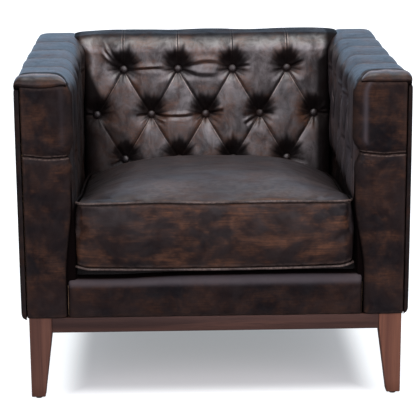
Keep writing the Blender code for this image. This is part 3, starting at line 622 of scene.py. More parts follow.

# %% [markdown]
# ## Deep buttoning
# On the real chair the leather is cut larger than the frame, pulled down by buttons in a diamond
# pattern, and the spare leather between them is folded into straight pleats. A cloth simulation does
# not keep such sharp folds, so the surface is a height over two slanting coordinates that are whole
# numbers exactly on the pleats. That same pair of numbers is stored as a map, and from it the material
# paints a thin line of shade in each pleat, with a painted highlight along its lower side.

# %% The diamond pattern
TUFT_DEPTH, VALLEY_DEPTH = 0.026, 0.0045
NICK_DEPTH, NICK_WIDTH = 0.0026, 0.0034
DIMPLE_REACH = 0.027
TOP_ROW, ROW_STEP = 0.702, 0.1225
RAIL_LEDGE = 0.7588          # the pads end on the top rails' outer edge at this height
PAD_FOOT = 0.285


def button_places(field, count, high):
    """(u, z) of the buttons of three rows: odd rows have count buttons, the even one ends at high."""
    first, step, low, _ = field
    odd = first + step * np.arange(count)
    even = low + step * np.arange(int((high - low) / step + 0.01) + 1)
    heights = TOP_ROW - ROW_STEP * np.repeat([0, 1, 2], [len(odd), len(even), len(odd)])
    return np.column_stack([np.concatenate([odd, even, odd]), heights])


def slants(u, z, field):
    """The two slanting coordinates, and how far (u, z) lies outside the field of buttons."""
    first, step, low, high = field
    inside_u = np.clip(u, low, high)
    inside_z = np.clip(z, TOP_ROW - 2 * ROW_STEP, TOP_ROW)
    along = (inside_u - first) / step
    down = (TOP_ROW - inside_z) / (2.0 * ROW_STEP)
    return along + down, along - down, np.hypot(u - inside_u, z - inside_z)


print("heights of the rows:", np.round(TOP_ROW - ROW_STEP * np.arange(3), 4))

# %% Relief round the buttons
def rays(turn, waves, shift):
    """A star-like unevenness round a button: the sum of cosines, each (height, count, share of shift)."""
    return sum(height * np.cos(count * turn + share * shift) for height, count, share in waves)


def dimple(u, z, rising, falling, field):
    """Two values: how deep the nearest button pulls the leather in, and how much painted shade lies round it.

    Both are 1 at the button and 0 some 60 mm away, drawn into rays that differ from button to button.
    The painted shade is a fan over the button, where the leather slopes down and away from the light.
    """
    first, step, low, high = field
    whole_r, whole_f = np.round(rising), np.round(falling)
    at_u = first + step * (whole_r + whole_f) / 2.0
    is_button = (at_u > low - 0.01) & (at_u < high + 0.01)
    du, dz = u - at_u, z - (TOP_ROW - ROW_STEP * (whole_r - whole_f))
    turn, shift = np.arctan2(dz, du), 2.3 * whole_r + 3.7 * whole_f
    reach = np.hypot(du, dz * np.where(dz > 0, 0.84, 1.30))
    reach = reach * (1.0 + rays(turn, ((0.10, 5, 2), (0.09, 8, 1), (0.06, 13, 3)), shift))
    window = down_to(np.hypot(du, dz), 0.062, 0.040) * is_button
    streaks = 1.0 + rays(turn, ((0.10, 7, 1), (0.08, 17, 2), (0.05, 31, 1)), shift)
    fan_shade = smooth_step((1.20 - np.hypot(du, dz - 0.023) / 0.041 * streaks) / 0.62)
    return np.exp(-((reach / DIMPLE_REACH) ** 1.25)) * window, fan_shade * is_button


def tuft_relief(u, z, field, at_edge, valley=VALLEY_DEPTH):
    """How far the leather lies below its crowns, its two slanting coordinates, and its painted shade fans.

    It is a deep round dimple at each button, a shallow valley along each pleat between two pillows,
    and the sharp nick of the pleat itself. Beyond the buttons the valleys fade to the share at_edge.
    """
    rising, falling, outside = slants(u, z, field)
    fade = 1.0 - (1.0 - at_edge) * smooth_step(outside / 0.06)
    crown = (np.abs(np.sin(math.pi * rising)) * np.abs(np.sin(math.pi * falling))) ** 0.45
    faded_nick = 1.0 - (1.0 - at_edge) * up_from(outside, 0.03, 0.05)
    off_pleat = np.minimum(np.abs(rising - np.round(rising)), np.abs(falling - np.round(falling)))
    nick = np.exp(-off_pleat * 0.13 / NICK_WIDTH)
    deep, fan_shade = dimple(u, z, rising, falling, field)
    relief = valley * (1.0 - crown) * fade + NICK_DEPTH * nick * faded_nick + (TUFT_DEPTH - valley) * deep
    return relief, rising, falling, fan_shade


print("a button is pulled in by", TUFT_DEPTH, "and a pleat by", round(VALLEY_DEPTH + NICK_DEPTH, 4))

# %% The rolled outline
def roll_over(front, outer, top, round_a, round_z, counts, edge=0.012):
    """The outline of a pad that rolls over a rail: up its face, over a quarter ellipse, along a level
    top, and down a small quarter circle.

    front, outer and top may change along the pad, as arrays of one row. The result is offset, height,
    the outward direction in both, and the distance travelled from the lower edge, which goes on from
    the height so that folds follow the surface.
    """
    climb, bend, level, turn = counts
    share = np.concatenate((np.array([0.0, 0.10, 0.18]), np.linspace(0.25, 1.0, climb)))[:, None]
    angle, flat, over = (
        np.linspace(0.0, last, count + 1)[1:, None]
        for last, count in ((QUARTER, bend), (1.0, level), (QUARTER, turn))
    )
    slope = np.hypot(np.cos(angle) / round_a, np.sin(angle) / round_z)
    start, end = front + round_a, outer - edge
    sections = (
        (share, front, PAD_FOOT + share * (top - round_z - PAD_FOOT), -1.0, 0.0),
        (angle, front + round_a * (1 - np.cos(angle)), top - round_z * (1 - np.sin(angle)),
         -np.cos(angle) / round_a / slope, np.sin(angle) / round_z / slope),
        (flat, start + flat * (end - start), top, 0.0, 1.0),
        (over, end + edge * np.sin(over), top - edge * (1 - np.cos(over)), np.sin(over), np.cos(over)),
        (np.ones((1, 1)), outer, RAIL_LEDGE, 1.0, 0.0),
    )
    width = np.size(front + outer + top)
    a, z, na, nz = (
        np.concatenate([np.broadcast_to(section[part], (len(section[0]), width)) for section in sections])
        for part in (1, 2, 3, 4)
    )
    legs = np.hypot(np.diff(a, axis=0), np.diff(z, axis=0))
    travel = PAD_FOOT + np.concatenate((np.zeros((1, width)), np.cumsum(legs, axis=0)))
    return a, z, na, nz, travel


travel = roll_over(0.24, 0.40, 0.79, 0.06, 0.05, (20, 8, 8, 4))[4]
print("length over a roll:", round(float(travel[-1, 0]) - PAD_FOOT, 3))

# %% Closing a pad
def pad_shell(name, points, back, folds, values):
    """Closes a grid of points with its two ends, its foot, its back and the ledge behind the rail.

    back sets the axis and the level of the flat back, folds are the slanting coordinates, and the
    corners behind carry full painted shade and are dull.
    """
    rows, columns = points.shape[:2]
    corners = np.array([points[row, column] for column in (0, -1) for row in (0, -1)])
    corners[:, back[0]] = back[1]
    corners[1::2, 2] = RAIL_LEDGE
    start = rows * columns
    grid = np.arange(start).reshape(rows, columns)
    polygons = [grid_quads(rows, columns), [[start, start + 2, start + 3, start + 1]]]
    ends = ((grid[0], 2, 0), (grid[-1], 3, 1), (grid[:, 0], 1, 0), (grid[:, -1], 3, 2))
    polygons += [[[*line, start + far, start + near]] for line, far, near in ends]
    mesh = build_mesh(name, np.concatenate([points.reshape(-1, 3), corners]), polygons)
    for key, value in values.items():
        value = np.broadcast_to(value, (rows, columns))
        give_values(mesh, {key: np.append(value, np.full(4, key in ("shadow", "dull")))})
    corner_of = np.zeros(len(mesh.loops), np.int32)
    mesh.loops.foreach_get("vertex_index", corner_of)
    both = np.column_stack([np.append(fold_number, np.full(4, 0.5)) for fold_number in folds])
    mesh.uv_layers.new(name="folds").data.foreach_set("uv", both[corner_of].astype(np.float32).ravel())
    return mesh


print("pads are closed at the back, the foot and both ends")

# %% [markdown]
# ## The inside back
# Four, five and four buttons. The pad is widest at its crowns, rolls over the top rail in one large
# turn, and its ends round away where the arms meet it. Some pillows are slacker than others.

# %% Creases and marks of the back
BACK_CREST, BACK_END = 0.240, 0.398
LEFT_HALF, RIGHT_HALF = 0.3375, 0.3310      # half widths at the crowns, to the left and to the right
BACK_FIELD = (-0.230, 0.148, -0.304, 0.288)  # first button, step, and the ends of the middle row
BACK_BUTTONS = button_places(BACK_FIELD, 4, BACK_FIELD[3])
BACK_LEAN, LEAN_FROM = 0.085, 0.60   # how far the back leans for each metre above this height
BACK_TURN = 0.024            # the ends of the back turn in over this length
# Each crease starts at a button of the back: its number, the run in x and z, width, rise and lean.
BACK_CREASES = (
    (0, (0.118, 0.006), 0.0060, 0.0042, 0.002),
    (1, (0.122, 0.016), 0.0085, 0.0027, 0.012),
    (1, (0.118, -0.012), 0.0090, 0.0020, -0.008),
    (2, (0.050, 0.014), 0.0060, 0.0030, 0.002),
    (3, (0.048, 0.026), 0.0060, 0.0032, 0.000),
    (0, (-0.052, 0.080), 0.0056, 0.0026, 0.004),
    (0, (-0.060, 0.056), 0.0062, 0.0028, 0.002),
    (5, (0.120, 0.000), 0.0062, 0.0040, -0.002),
    (5, (-0.042, 0.002), 0.0055, -0.0034, 0.000),
    (5, (0.044, -0.016), 0.0050, -0.0028, 0.000),
    (6, (0.052, 0.016), 0.0060, 0.0026, 0.000),
    (7, (-0.046, -0.026), 0.0060, -0.0028, 0.000),
    (7, (0.040, 0.006), 0.0055, 0.0022, 0.000),
    (8, (0.044, 0.000), 0.0050, 0.0040, 0.000),
    (4, (-0.034, 0.002), 0.0050, -0.0040, 0.000),
)


def back_creases(x, travel):
    """The slack folds that run from some buttons, as one relief."""
    relief = 0.0
    for number, run, width, rise, lean in BACK_CREASES:
        button, run = BACK_BUTTONS[number], np.array(run)
        start = button + run * 0.010 / np.hypot(*run)
        relief = relief + fold(x, travel, start, button + run, width, rise, lean)
    return relief


def back_marks(x, z, nz, rim, fan_shade):
    """Painted shade where the arms and the seat keep the light off, at the turned-in ends, in fans over
    the buttons, and on top, which is dull too; glossy near both upper ends.
    """
    from_left = x + LEFT_HALF
    beside_arm = np.clip(0.46 * (0.750 - z), 0.0, 0.060) * up_from(z, 0.570, 0.03)
    at_left = smooth_step((beside_arm - 0.007 - from_left) / 0.018 + 0.5)
    beside_arm = 0.012 + 0.026 * down_to(z, 0.745, 0.03)
    at_right = smooth_step((beside_arm - (RIGHT_HALF - x)) / 0.022 + 0.5)
    low_left = 0.95 - 0.24 * up_from(from_left, 0.020, 0.03)
    low_left = low_left * down_to(from_left, 0.135, 0.03)
    low_left = low_left * smooth_step((0.598 - 0.5 * from_left - z) / 0.02)
    on_top = up_from(nz, 0.84, 0.14)
    at_rim = up_from(rim, 0.70, 0.28) * (nz < 0.9)
    darks = (0.6 * at_rim, 0.95 * fan_shade, 0.97 * (at_left + at_right), low_left, 0.72 * on_top)
    glossy = 0.75 * bump(x + 0.312, 0.034) * up_from(z, 0.66, 0.05)
    glossy = glossy + 0.5 * bump(x - 0.300, 0.030) * up_from(z, 0.72, 0.03)
    return {"shadow": np.maximum.reduce(darks), "dull": 0.45 * on_top - glossy}


print("buttons of the back:", len(BACK_BUTTONS), "creases:", len(BACK_CREASES))

# %% Inside back
def back_pad():
    """The buttoned back as a grid over its width (x) and its rolled outline.

    Its ends flare out over the arms' rolls, and the pad leans back.
    """
    share = np.linspace(-1.0, 1.0, 300)[None, :]
    top = 0.7895 + 0.0055 * (1.0 - share**6) + 0.0022 * smooth_step(share / 0.8)
    a, z, na, nz, travel = roll_over(BACK_CREST, BACK_END, top, 0.062, 0.046, (150, 32, 20, 7))
    rise = np.clip((z - 0.738) / 0.0505, 0.0, 0.97)
    flare = np.where(share < 0, 0.040, 0.036) * (1.0 - np.sqrt(1.0 - rise**2))
    half = np.where(share < 0, LEFT_HALF, RIGHT_HALF) + flare
    x = share * half
    relief, rising, falling, fan_shade = tuft_relief(x, travel, BACK_FIELD, 0.10)
    inward = relief * (1.0 + 0.14 * soft_noise(x, travel, 0.16, 3)) - back_creases(x, travel)
    inward -= 0.0011 * soft_noise(x, travel, 0.050, 5) + 0.0020 * soft_noise(x, travel, 0.13, 6)
    to_end = half - np.abs(x)
    inward += (0.004 + 0.018 * (1.0 - nz)) * turn_in(to_end, BACK_TURN)
    leaning = bump(x + 0.318, 0.050) + 0.6 * bump(x - 0.315, 0.040)
    lean = BACK_LEAN * (np.clip(z, 0.40, 0.79) - LEAN_FROM) + 0.018 * up_from(z, 0.610, 0.15) * leaning
    lean = lean * (1.0 - up_from(a, BACK_CREST, 0.1))
    points = grid_of(x, a - inward * na + lean, z - inward * nz)
    marks = back_marks(x, z, nz, unit(1.0 - to_end / BACK_TURN), fan_shade)
    mesh = pad_shell("buttoned_back", points, (1, 0.3247), (rising, falling), marks)
    pad = add_piece("buttoned_back", mesh, LEATHER_BACK, ["inside_back"], 75.0)


back_pad()

# %% [markdown]
# ## The inside arms
# The same buttoning, on pads that run from the arm front to behind the back, and over the arm rail.

# %% Lines of the arms
ARM_FIELD = (-0.21, 0.14, -0.28, 0.28)
ARM_BUTTONS = button_places(ARM_FIELD, 4, 0.21)
ARM_FRONT, ARM_BACK, ARM_TOP = -0.3845, 0.398, 0.788
ARM_TURN = 0.012             # the front end of an arm turns in over this length
REAR_CORNER = 0.040          # reach of the rounding of its rear outer corner
CAP_INNER, CAP_OUTER = 0.3425, 0.4640


def over_arm(x):
    """The share of the way from the inner to the outer end of the seams at an arm's front end."""
    return unit((x - CAP_INNER) / (CAP_OUTER - CAP_INNER))


def cap_seam(x):
    """(y, z) of the seam on top of the arm, at the distance x from the middle of the chair.

    It is an arch from the inner front corner, back over the top, and forward again at the outer side.
    """
    arch = np.sin(math.pi * over_arm(x)) ** 0.6
    y = np.where(over_arm(x) < 0.5, -0.3900 + 0.0500 * arch, -0.3640 + 0.0240 * arch)
    inner_turn = unit((0.3715 - x) / 0.042)
    outer_turn = unit((x - CAP_OUTER + 0.018) / 0.018)
    return y, ARM_TOP - 0.050 * (1 - np.sqrt(1 - inner_turn**2)) - 0.018 * (1 - np.sqrt(1 - outer_turn**2))


def arm_crest(side, y):
    """Distance of the inner face of an arm from the middle: fullest behind the front corner."""
    front, back = per_side(side, (0.3290, 0.3368), (0.3240, 0.3285))
    return front + (back - front) * up_from(y, -0.25, 0.35)


print("buttons of an arm:", len(ARM_BUTTONS))

# %% Creases and marks of the arms
def arm_creases(y, travel, seed):
    """Two short folds from each button, of random length and height."""
    chance = np.random.default_rng(seed)
    relief = 0.0
    for button in ARM_BUTTONS:
        for heading in (0.15, 2.9):
            run = 0.07 * np.array([math.cos(heading), 0.6 * math.sin(heading)]) * chance.uniform(0.6, 1.0)
            rise = 0.0028 * chance.uniform(0.5, 1.0)
            relief = relief + fold(y, travel, button, button + run, 0.006, rise)
    return relief


def arm_marks(side, z, nz, behind, front_end, fan_shade, ridges):
    """Painted shade at the front seam, in the dimples, and low down beside the cushion, where the pad is
    dull too, and over the left arm's inner face, which the light reaches less; a pale painted sheen
    over the right arm's inner face, which takes more light.

    behind is the distance from the seam of the end cap.
    """
    inner_face = down_to(z, 0.770, 0.03)
    dark = np.maximum(0.8 * up_from(front_end, 0.3, 0.6), 0.7 * fan_shade * (z < 0.76))
    dark = np.maximum(dark, 0.85 * down_to(behind, 0.026, 0.008) * (nz > 0.5))
    dark = np.maximum(dark * per_side(side, 1.0, 0.6), per_side(side, 0.66, 0.0) * inner_face)
    dark = np.maximum(dark, 0.85 * down_to(z, per_side(side, 0.480, 0.515), 0.05))
    beside_seat = down_to(z, 0.50, 0.04) * down_to(behind, 0.030, 0.012)
    sheen_band = down_to(z, 0.765, 0.03) * up_from(z, 0.48, 0.05)
    return {
        "shadow": np.maximum(dark, beside_seat),
        "painted_sheen": per_side(side, 0.0, 1.0) * (0.45 + 0.35 * ridges) * sheen_band,
        "dull": np.maximum(per_side(side, 0.0, 0.31), beside_seat),
    }


print("creases of an arm:", 2 * len(ARM_BUTTONS))

# %% Inside arms
def arm_pad(hand, side, seed, outer_edge, splay):
    """The buttoned arm as a grid over its length (y) and its rolled outline.

    The front end follows the arched seam of the arm's end cap, and splay moves the outer edge sideways
    towards the back.
    """
    share = np.linspace(0.0, 1.0, 300)[None, :]
    y = ARM_FRONT + (ARM_BACK - ARM_FRONT) * share
    outer = outer_edge + splay * up_from(y, -0.36, 0.22)
    top = ARM_TOP + per_side(side, 0.001, 0.005) * up_from(y, -0.10, 0.40)
    a, z, na, nz, travel = roll_over(arm_crest(side, y), outer, top, 0.042, 0.050, (140, 34, 26, 7), 0.010)
    y_front = ARM_FRONT + (cap_seam(a)[0] - ARM_FRONT) * up_from(z, 0.735, 0.025)
    y = y_front + (ARM_BACK - y_front) * share

    relief, rising, falling, fan_shade = tuft_relief(y, travel, ARM_FIELD, 0.60, 0.0055)
    calm = up_from(y, y_front, 0.03)
    ridges = soft_noise(y, travel * 0.25, 0.026, seed + 2)
    inward = calm * (relief * (1.0 + 0.15 * soft_noise(y, travel, 0.15, seed)) - arm_creases(y, travel, seed))
    inward -= (0.0006 + 0.0028 * down_to(travel, 0.775, 0.03)) * ridges
    inward -= 0.0018 * soft_noise(y, travel, 0.12, seed + 3)
    inward += 0.005 * turn_in(y - y_front, ARM_TURN)
    inward += per_side(side, 0.004, 0.013) * (1.0 - up_from(z, 0.455, 0.055)) * (travel < 0.6)
    inward += 0.008 * turn_in(ARM_BACK - y, 0.012) * (travel > TOP_ROW)

    # The rear outer corner is rounded: the top sinks there, and over the edge the roll hangs straight.
    near_back, near_outer = 1 - (ARM_BACK - y) / REAR_CORNER, 1 - (outer - a) / REAR_CORNER
    corner = np.hypot(unit(near_back), unit(near_outer))
    drop = 0.026 * (1.0 - np.sqrt(1.0 - np.clip(corner, 0, 0.98) ** 4))
    over_edge = na > 0.001
    on_ledge = over_edge & (z < RAIL_LEDGE + 0.0001)
    inward += drop * ~over_edge
    a_at = a - inward * na - over_edge * (0.0085 * na - 0.0045 * on_ledge)
    z_at = z - inward * nz - drop * (over_edge & ~on_ledge) * (0.5 + 0.5 * nz)

    keep = np.where(calm > 0.3, 1.0, 0.0)
    folds = (rising * keep + 0.5 * (1 - keep), falling * keep + 0.5 * (1 - keep))
    front_end = unit(1.0 - (y - y_front) / ARM_TURN)
    marks = arm_marks(side, z, nz, y - y_front, front_end, fan_shade, ridges)
    name = f"buttoned_arm_{hand}"
    mesh = pad_shell(name, grid_of(side * a_at, y, z_at), (0, side * 0.3712), folds, marks)
    pad = add_piece(name, mesh, LEATHER_FOLDED, [f"inside_arm_{hand}"], 75.0)


arm_pad("left", -1, 19, 0.4665, 0.0055)
arm_pad("right", 1, 21, 0.4625, -0.002)

# %% [markdown]
# ## Buttons
# A button is a tin cap covered with leather: a low dome with a tight rim. They sit at slightly
# different depths and angles, because each is tied by hand.

# %% Covered buttons
BUTTON_RADIUS, BUTTON_DOME = 0.0108, 0.0072
SEAT_DEPTH = 0.0185          # from the crowns down to the seat of a button


def button_shells(places, seed, place):
    """Domes for all the buttons of one pad as one mesh: radius and height of a profile, turned round."""
    radius = BUTTON_RADIUS * np.array([0.0, 0.30, 0.58, 0.80, 0.93, 1.0, 1.0, 0.93, 0.80])[:, None]
    height = BUTTON_DOME * np.array([1.0, 0.965, 0.86, 0.69, 0.50, 0.28, 0.10, 0.0, -0.25])[:, None]
    angle = np.linspace(0, 2 * math.pi, 25)[None, :-1]
    across, up = radius * np.cos(angle), radius * np.sin(angle)
    rows, columns = across.shape
    chance = np.random.default_rng(seed)
    points, quads, ends = [], [], []
    for start, (u, z) in zip(range(0, len(places) * rows * columns, rows * columns), places):
        tilt = chance.uniform(-0.12, 0.12, 2)
        out = height + chance.uniform(-0.0008, 0.0008) + across * tilt[0] + up * tilt[1]
        points.append(place(u + across, out, z + up).reshape(-1, 3))
        quads.append(start + grid_quads(rows, columns, wrap=True))
        ends.append(start + (rows - 1) * columns + np.arange(columns))
    return np.concatenate(points), [np.concatenate(quads), np.array(ends)]


def add_buttons(name, places, seed, place, replaced):
    mesh = build_mesh(name, *button_shells(places, seed, place))
    shell = bmesh.new()
    shell.from_mesh(mesh)
    bmesh.ops.remove_doubles(shell, verts=shell.verts, dist=1e-6)
    shell.to_mesh(mesh)
    shell.free()
    add_piece(name, mesh, LEATHER_BUTTON, replaced, 60.0)


def on_back(u, out, z):
    return grid_of(u, BACK_CREST + SEAT_DEPTH - out + BACK_LEAN * (z - LEAN_FROM), z)


def on_arm(side):
    return lambda u, out, z: grid_of(side * (arm_crest(side, u) + SEAT_DEPTH + 0.003 - out), u, z)


back_nodes = sorted(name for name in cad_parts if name.startswith("back_button_"))
add_buttons("back_buttons", BACK_BUTTONS, 4, on_back, back_nodes)
for hand, side in SIDES:
    add_buttons(f"arm_buttons_{hand}", ARM_BUTTONS, 6 + side, on_arm(side), [])

# %% [markdown]
# ## Outer panels
# The outside arms and the outside back are single hides pulled over thin wadding. They swell a little
# in the middle, turn under at the bottom, and the arm panels wrap the corner onto the front.

# %% Closing a panel
BODY_BOTTOM = 0.2055
PANEL_TOP = RAIL_LEDGE - 0.0008


def panel_shell(name, face, flatten, values):
    """A grid of points for the face of a panel, closed by the flat shadow of the grid's border.

    flatten is the (axis, level) of a flat shadow, or a function that lays points down.
    """
    rows, columns = face.shape[:2]
    grid = np.arange(rows * columns).reshape(rows, columns)
    border = np.concatenate([grid[0, :-1], grid[:-1, -1], grid[-1, :0:-1], grid[:0:-1, 0]])
    points = face.reshape(-1, 3)
    if callable(flatten):
        shadow = flatten(*points[border].T)
    else:
        shadow = points[border]
        shadow[:, flatten[0]] = flatten[1]
    ring = len(points) + np.arange(len(border))
    sides = np.stack([border, np.roll(border, -1), np.roll(ring, -1), ring], axis=1)
    polygons = [grid_quads(rows, columns), sides, [list(ring)]]
    mesh = build_mesh(name, np.concatenate([points, shadow]), polygons)
    for key, value in values.items():
        value = np.broadcast_to(value, (rows, columns)).ravel()
        give_values(mesh, {key: np.append(value, value[border])})
    return mesh


print("outer panels run from", BODY_BOTTOM, "to", PANEL_TOP)

# %% Outer panels
def outer_arm(hand, side, seed):
    """Round the front corner by a quarter circle, then back along the side to the rear corner."""
    turn = np.linspace(0, QUARTER, 9)[:-1]
    run = stretches((0, 0.04, 6), (0.05, 0.95, 60), (0.96, 1.0, 7))
    level = stretches((0, 0.06, 10), (0.07, 0.94, 50), (0.95, 1.0, 8))[:, None]
    front_y, back_y, radius, edge_x = -0.3985, 0.3865, 0.0075, per_side(side, 0.4645, 0.4622)
    bottom = BODY_BOTTOM - per_side(side, 0.0030, 0.0)
    along_side = front_y + radius + (back_y - front_y - radius) * run
    y = np.append(front_y + radius * (1 - np.cos(turn)), along_side)[None, :]
    x = np.append(edge_x - radius * (1 - np.sin(turn)), np.full(len(run), edge_x))[None, :]
    share = np.append(0 * turn, run)[None, :]
    z = bottom + (PANEL_TOP - bottom) * level
    under = 0.009 * turn_in(z - bottom, 0.016)
    x = x + 0.0040 * swell(level) * swell(share * 0.97 + 0.03) - under
    x = x + 0.0011 * soft_noise(y + 0 * z, z + 0 * y, 0.09, seed) * swell(level) * swell(share)
    y = y + np.where(share == 0, 0.4 * under, 0)
    # Painted shade along the top, under the roll of the arm, and near the front corner; the light at the
    # edges is the leather's own worn colour.
    upper = up_from(z, RAIL_LEDGE - 0.006, 0.006)
    edge = bump(y - front_y - 0.002, 0.004) + bump(z - BODY_BOTTOM - 0.008, 0.006)
    edge = edge + bump(z - RAIL_LEDGE + 0.006, 0.005)
    fore = down_to(y, front_y + 0.016, 0.012)
    values = {"shadow": np.maximum(0.7 * upper, 0.55 * fore), "wear_and_highlight": unit(0.15 * edge * (1 - fore))}
    name = f"outer_arm_{hand}"
    mesh = panel_shell(name, grid_of(side * (x - 0.001 * upper), y, z), (0, side * 0.4527), values)
    add_piece(name, mesh, LEATHER_PLAIN, [f"outside_arm_{hand}"])


def outer_back():
    """One hide across the back: a swell, with a rounded rim that turns in at all four edges."""
    fine = stretches((0, 0.03, 8), (0.04, 0.96, 70), (0.97, 1.0, 8))
    half = 0.4575
    share_x, share_z = np.meshgrid(fine, fine)
    x, z = half * (2 * share_x - 1), BODY_BOTTOM + (PANEL_TOP - BODY_BOTTOM) * share_z
    inset = np.minimum(half - np.abs(x), np.minimum(z - BODY_BOTTOM, RAIL_LEDGE - z))
    fullness = swell(share_x) * swell(share_z)
    y = 0.3945 + (0.0052 + 0.0010 * soft_noise(x, z, 0.11, 51)) * fullness - 0.005 * turn_in(inset, 0.008)
    # The dark along the turned-in rim is painted shade; a light band runs just inside it.
    values = {"shadow": 0.5 * down_to(inset, 0.003, 0.003), "wear_and_highlight": 0.5 * bump(inset - 0.006, 0.004)}
    mesh = panel_shell("outer_back", grid_of(x, y, z), (1, 0.3877), values)
    add_piece("outer_back", mesh, LEATHER_PLAIN, ["outside_back"])


for hand, side in SIDES:
    outer_arm(hand, side, 40 + side)
outer_back()

# %% [markdown]
# ## Arm fronts
# Each arm ends in a padded facing. It wraps softly round the inner corner, a level seam pinches it
# above the middle, and the leather puckers where the seam runs round the corner. Above it the roll of
# the arm ends in a short rounded cap.

# %% Lines of the arm fronts
FACING_SEAM, FACING_TOP, FACING_OUTER = 0.598, 0.7715, 0.4505
FRONT = -0.400
ROUND_OUT, ROUND_IN = 0.006, 0.018      # radii of a facing's outer and inner corners


def lip_height(x, sag):
    """Height of the seam between the arm's cap and its facing: it sags between its two ends."""
    return 0.7700 - sag * np.sin(math.pi * over_arm(x)) ** 0.8


def facing_edge(z, upper, waist, lower):
    """The inner edge of a facing: three widths from the top down, and narrow beside the border."""
    below = 1.0 - up_from(z, FACING_SEAM - 0.055, 0.055)
    edge = upper + (lower - upper) * below
    edge = edge + (waist - edge) * bump(z - FACING_SEAM, 0.020)
    edge = edge + (0.3525 - edge) * (1.0 - up_from(z, 0.300, 0.20))
    roll = unit((z - 0.738) / 0.050)
    return np.maximum(edge, upper + 0.0005 + 0.042 * (1 - np.sqrt(1 - roll**2)))


def facing_outline(inner):
    """x and y across a facing: outer corner, flat front, round inner corner, inner side."""
    outer_turn = np.linspace(0, QUARTER, 6)[None, :]
    flat = np.linspace(0, 1, 42)[None, 1:-1]
    inner_turn = np.linspace(0, QUARTER, 10)[None, :]
    inward = np.linspace(0, 1, 7)[None, 1:]
    start = FACING_OUTER - ROUND_OUT
    parts = (
        (FACING_OUTER - ROUND_OUT * (1 - np.cos(outer_turn)), ROUND_OUT * (1 - np.sin(outer_turn))),
        (start + flat * (inner + ROUND_IN - start), 0 * flat),
        (inner + ROUND_IN * (1 - np.sin(inner_turn)), ROUND_IN * (1 - np.cos(inner_turn))),
        (inner + 0.004 * inward**1.5, ROUND_IN + 0.016 * inward),
    )
    return (np.concatenate([part[i] + 0 * inner for part in parts], axis=1) + (0, FRONT)[i] for i in (0, 1))


print("width of a facing:", round(FACING_OUTER - float(facing_edge(0.50, 0.33, 0.34, 0.33)), 3))

# %% Facings
def facing(hand, side, widths, sag, seed):
    """A padded panel round its corners, with a seam, its puckers, and a strip pressed in beside the edge."""
    seam_low, seam_high = FACING_SEAM - 0.028, FACING_SEAM + 0.028
    z = stretches(
        (BODY_BOTTOM, BODY_BOTTOM + 0.014, 8),
        (BODY_BOTTOM + 0.018, seam_low - 0.002, 90),
        (seam_low, seam_high, 29),
        (seam_high + 0.004, FACING_TOP - 0.012, 36),
        (FACING_TOP - 0.010, FACING_TOP, 7),
    )[:, None]
    inner = facing_edge(z, *widths)
    x, y = facing_outline(inner)
    z = z + (lip_height(x, sag) - 0.0006 - FACING_TOP) * up_from(z, 0.70, FACING_TOP - 0.70)
    off_seam = z - (FACING_SEAM + 0.0015 * np.sin(x * 60.0) - 0.002 * side * (x - 0.39) / 0.06)
    strip = x - inner - per_side(side, 0.0185, 0.0215)
    in_upper_part = up_from(z, FACING_SEAM + 0.015, 0.02)
    pressed = per_side(side, 0.3, 1.0)
    ridge = (0.0020 * bump(strip - 0.006, 0.005) - 0.0018 * bump(strip, 0.003)) * in_upper_part * pressed
    groove = 0.0050 * bump(off_seam, 0.0028) + 0.0035 * bump(off_seam, 0.011)
    across = (x - inner) / (FACING_OUTER - inner)
    hollow = 0.0030 * np.abs(2 * across - 1) ** 2.2
    ripples = 0.0016 * soft_noise(x * 1.8, z, 0.045, seed) + 0.0009 * soft_noise(x * 2.0, z, 0.018, seed + 1)
    near = np.exp(-np.abs(off_seam) / 0.020) * down_to(across, 0.60, 0.6)
    ripples += 0.0016 * np.sin(math.pi * 9.0 * np.arctan2(off_seam, across * 0.10 + 0.012)) * near
    to_end = np.minimum(z - BODY_BOTTOM, lip_height(x, sag) - z)
    reach = 0.010 - 0.006 * up_from(z, 0.70, 0.02)
    y = y + hollow - ridge + groove + 0.6 * reach * turn_in(to_end, reach)
    y = y - ripples * swell(unit(across) * 0.9 + 0.05)
    pucker = 0.0012 * np.sin(z * 420.0 + 2.0) * np.exp(-np.abs(off_seam) / 0.03)
    x = x + pucker * (y > FRONT + 0.010)

    # Painted light and shade: the light lines on the lips of the seam are painted highlights, and the dark in
    # the seam, at the ends, along the inner edge and over the inner side below the seam is painted shade. The
    # pale line along the pressed ridge, strongest on the right, is a painted highlight; the light at the
    # edges is the leather's own worn colour.
    light = bump(off_seam - 0.0034, 0.0016) + 0.8 * bump(off_seam + 0.0040, 0.0012)
    edge = bump(across - 1.0, 0.05) + 0.8 * bump(across, 0.07) + bump(to_end - 0.004, 0.004)
    inside = up_from(y, FRONT + 0.006, 0.008) * (across < 0.5) * down_to(z, 0.56, 0.06)
    dark = bump(off_seam - 0.0004, 0.0013) + 0.6 * bump(to_end, 0.002) + 0.35 * bump(across, 0.05)
    values = {
        "shadow": unit(dark + 0.95 * inside),
        "wear_and_highlight": unit(0.45 * light + 0.05 * edge),
        "painted_sheen": 0.55 * bump(strip - 0.007, 0.006) * in_upper_part * pressed**1.3,
    }
    name = f"facing_{hand}"
    mesh = panel_shell(name, grid_of(side * x, y, z), (1, -0.3708), values)
    add_piece(name, mesh, LEATHER_FRONT, [f"arm_facing_{hand}"], 60.0)


LEFT_SAG, RIGHT_SAG = 0.0065, 0.0010
facing("left", -1, (0.3290, 0.3405, 0.3355), LEFT_SAG, 61)
facing("right", 1, (0.3235, 0.3400, 0.3280), RIGHT_SAG, 71)

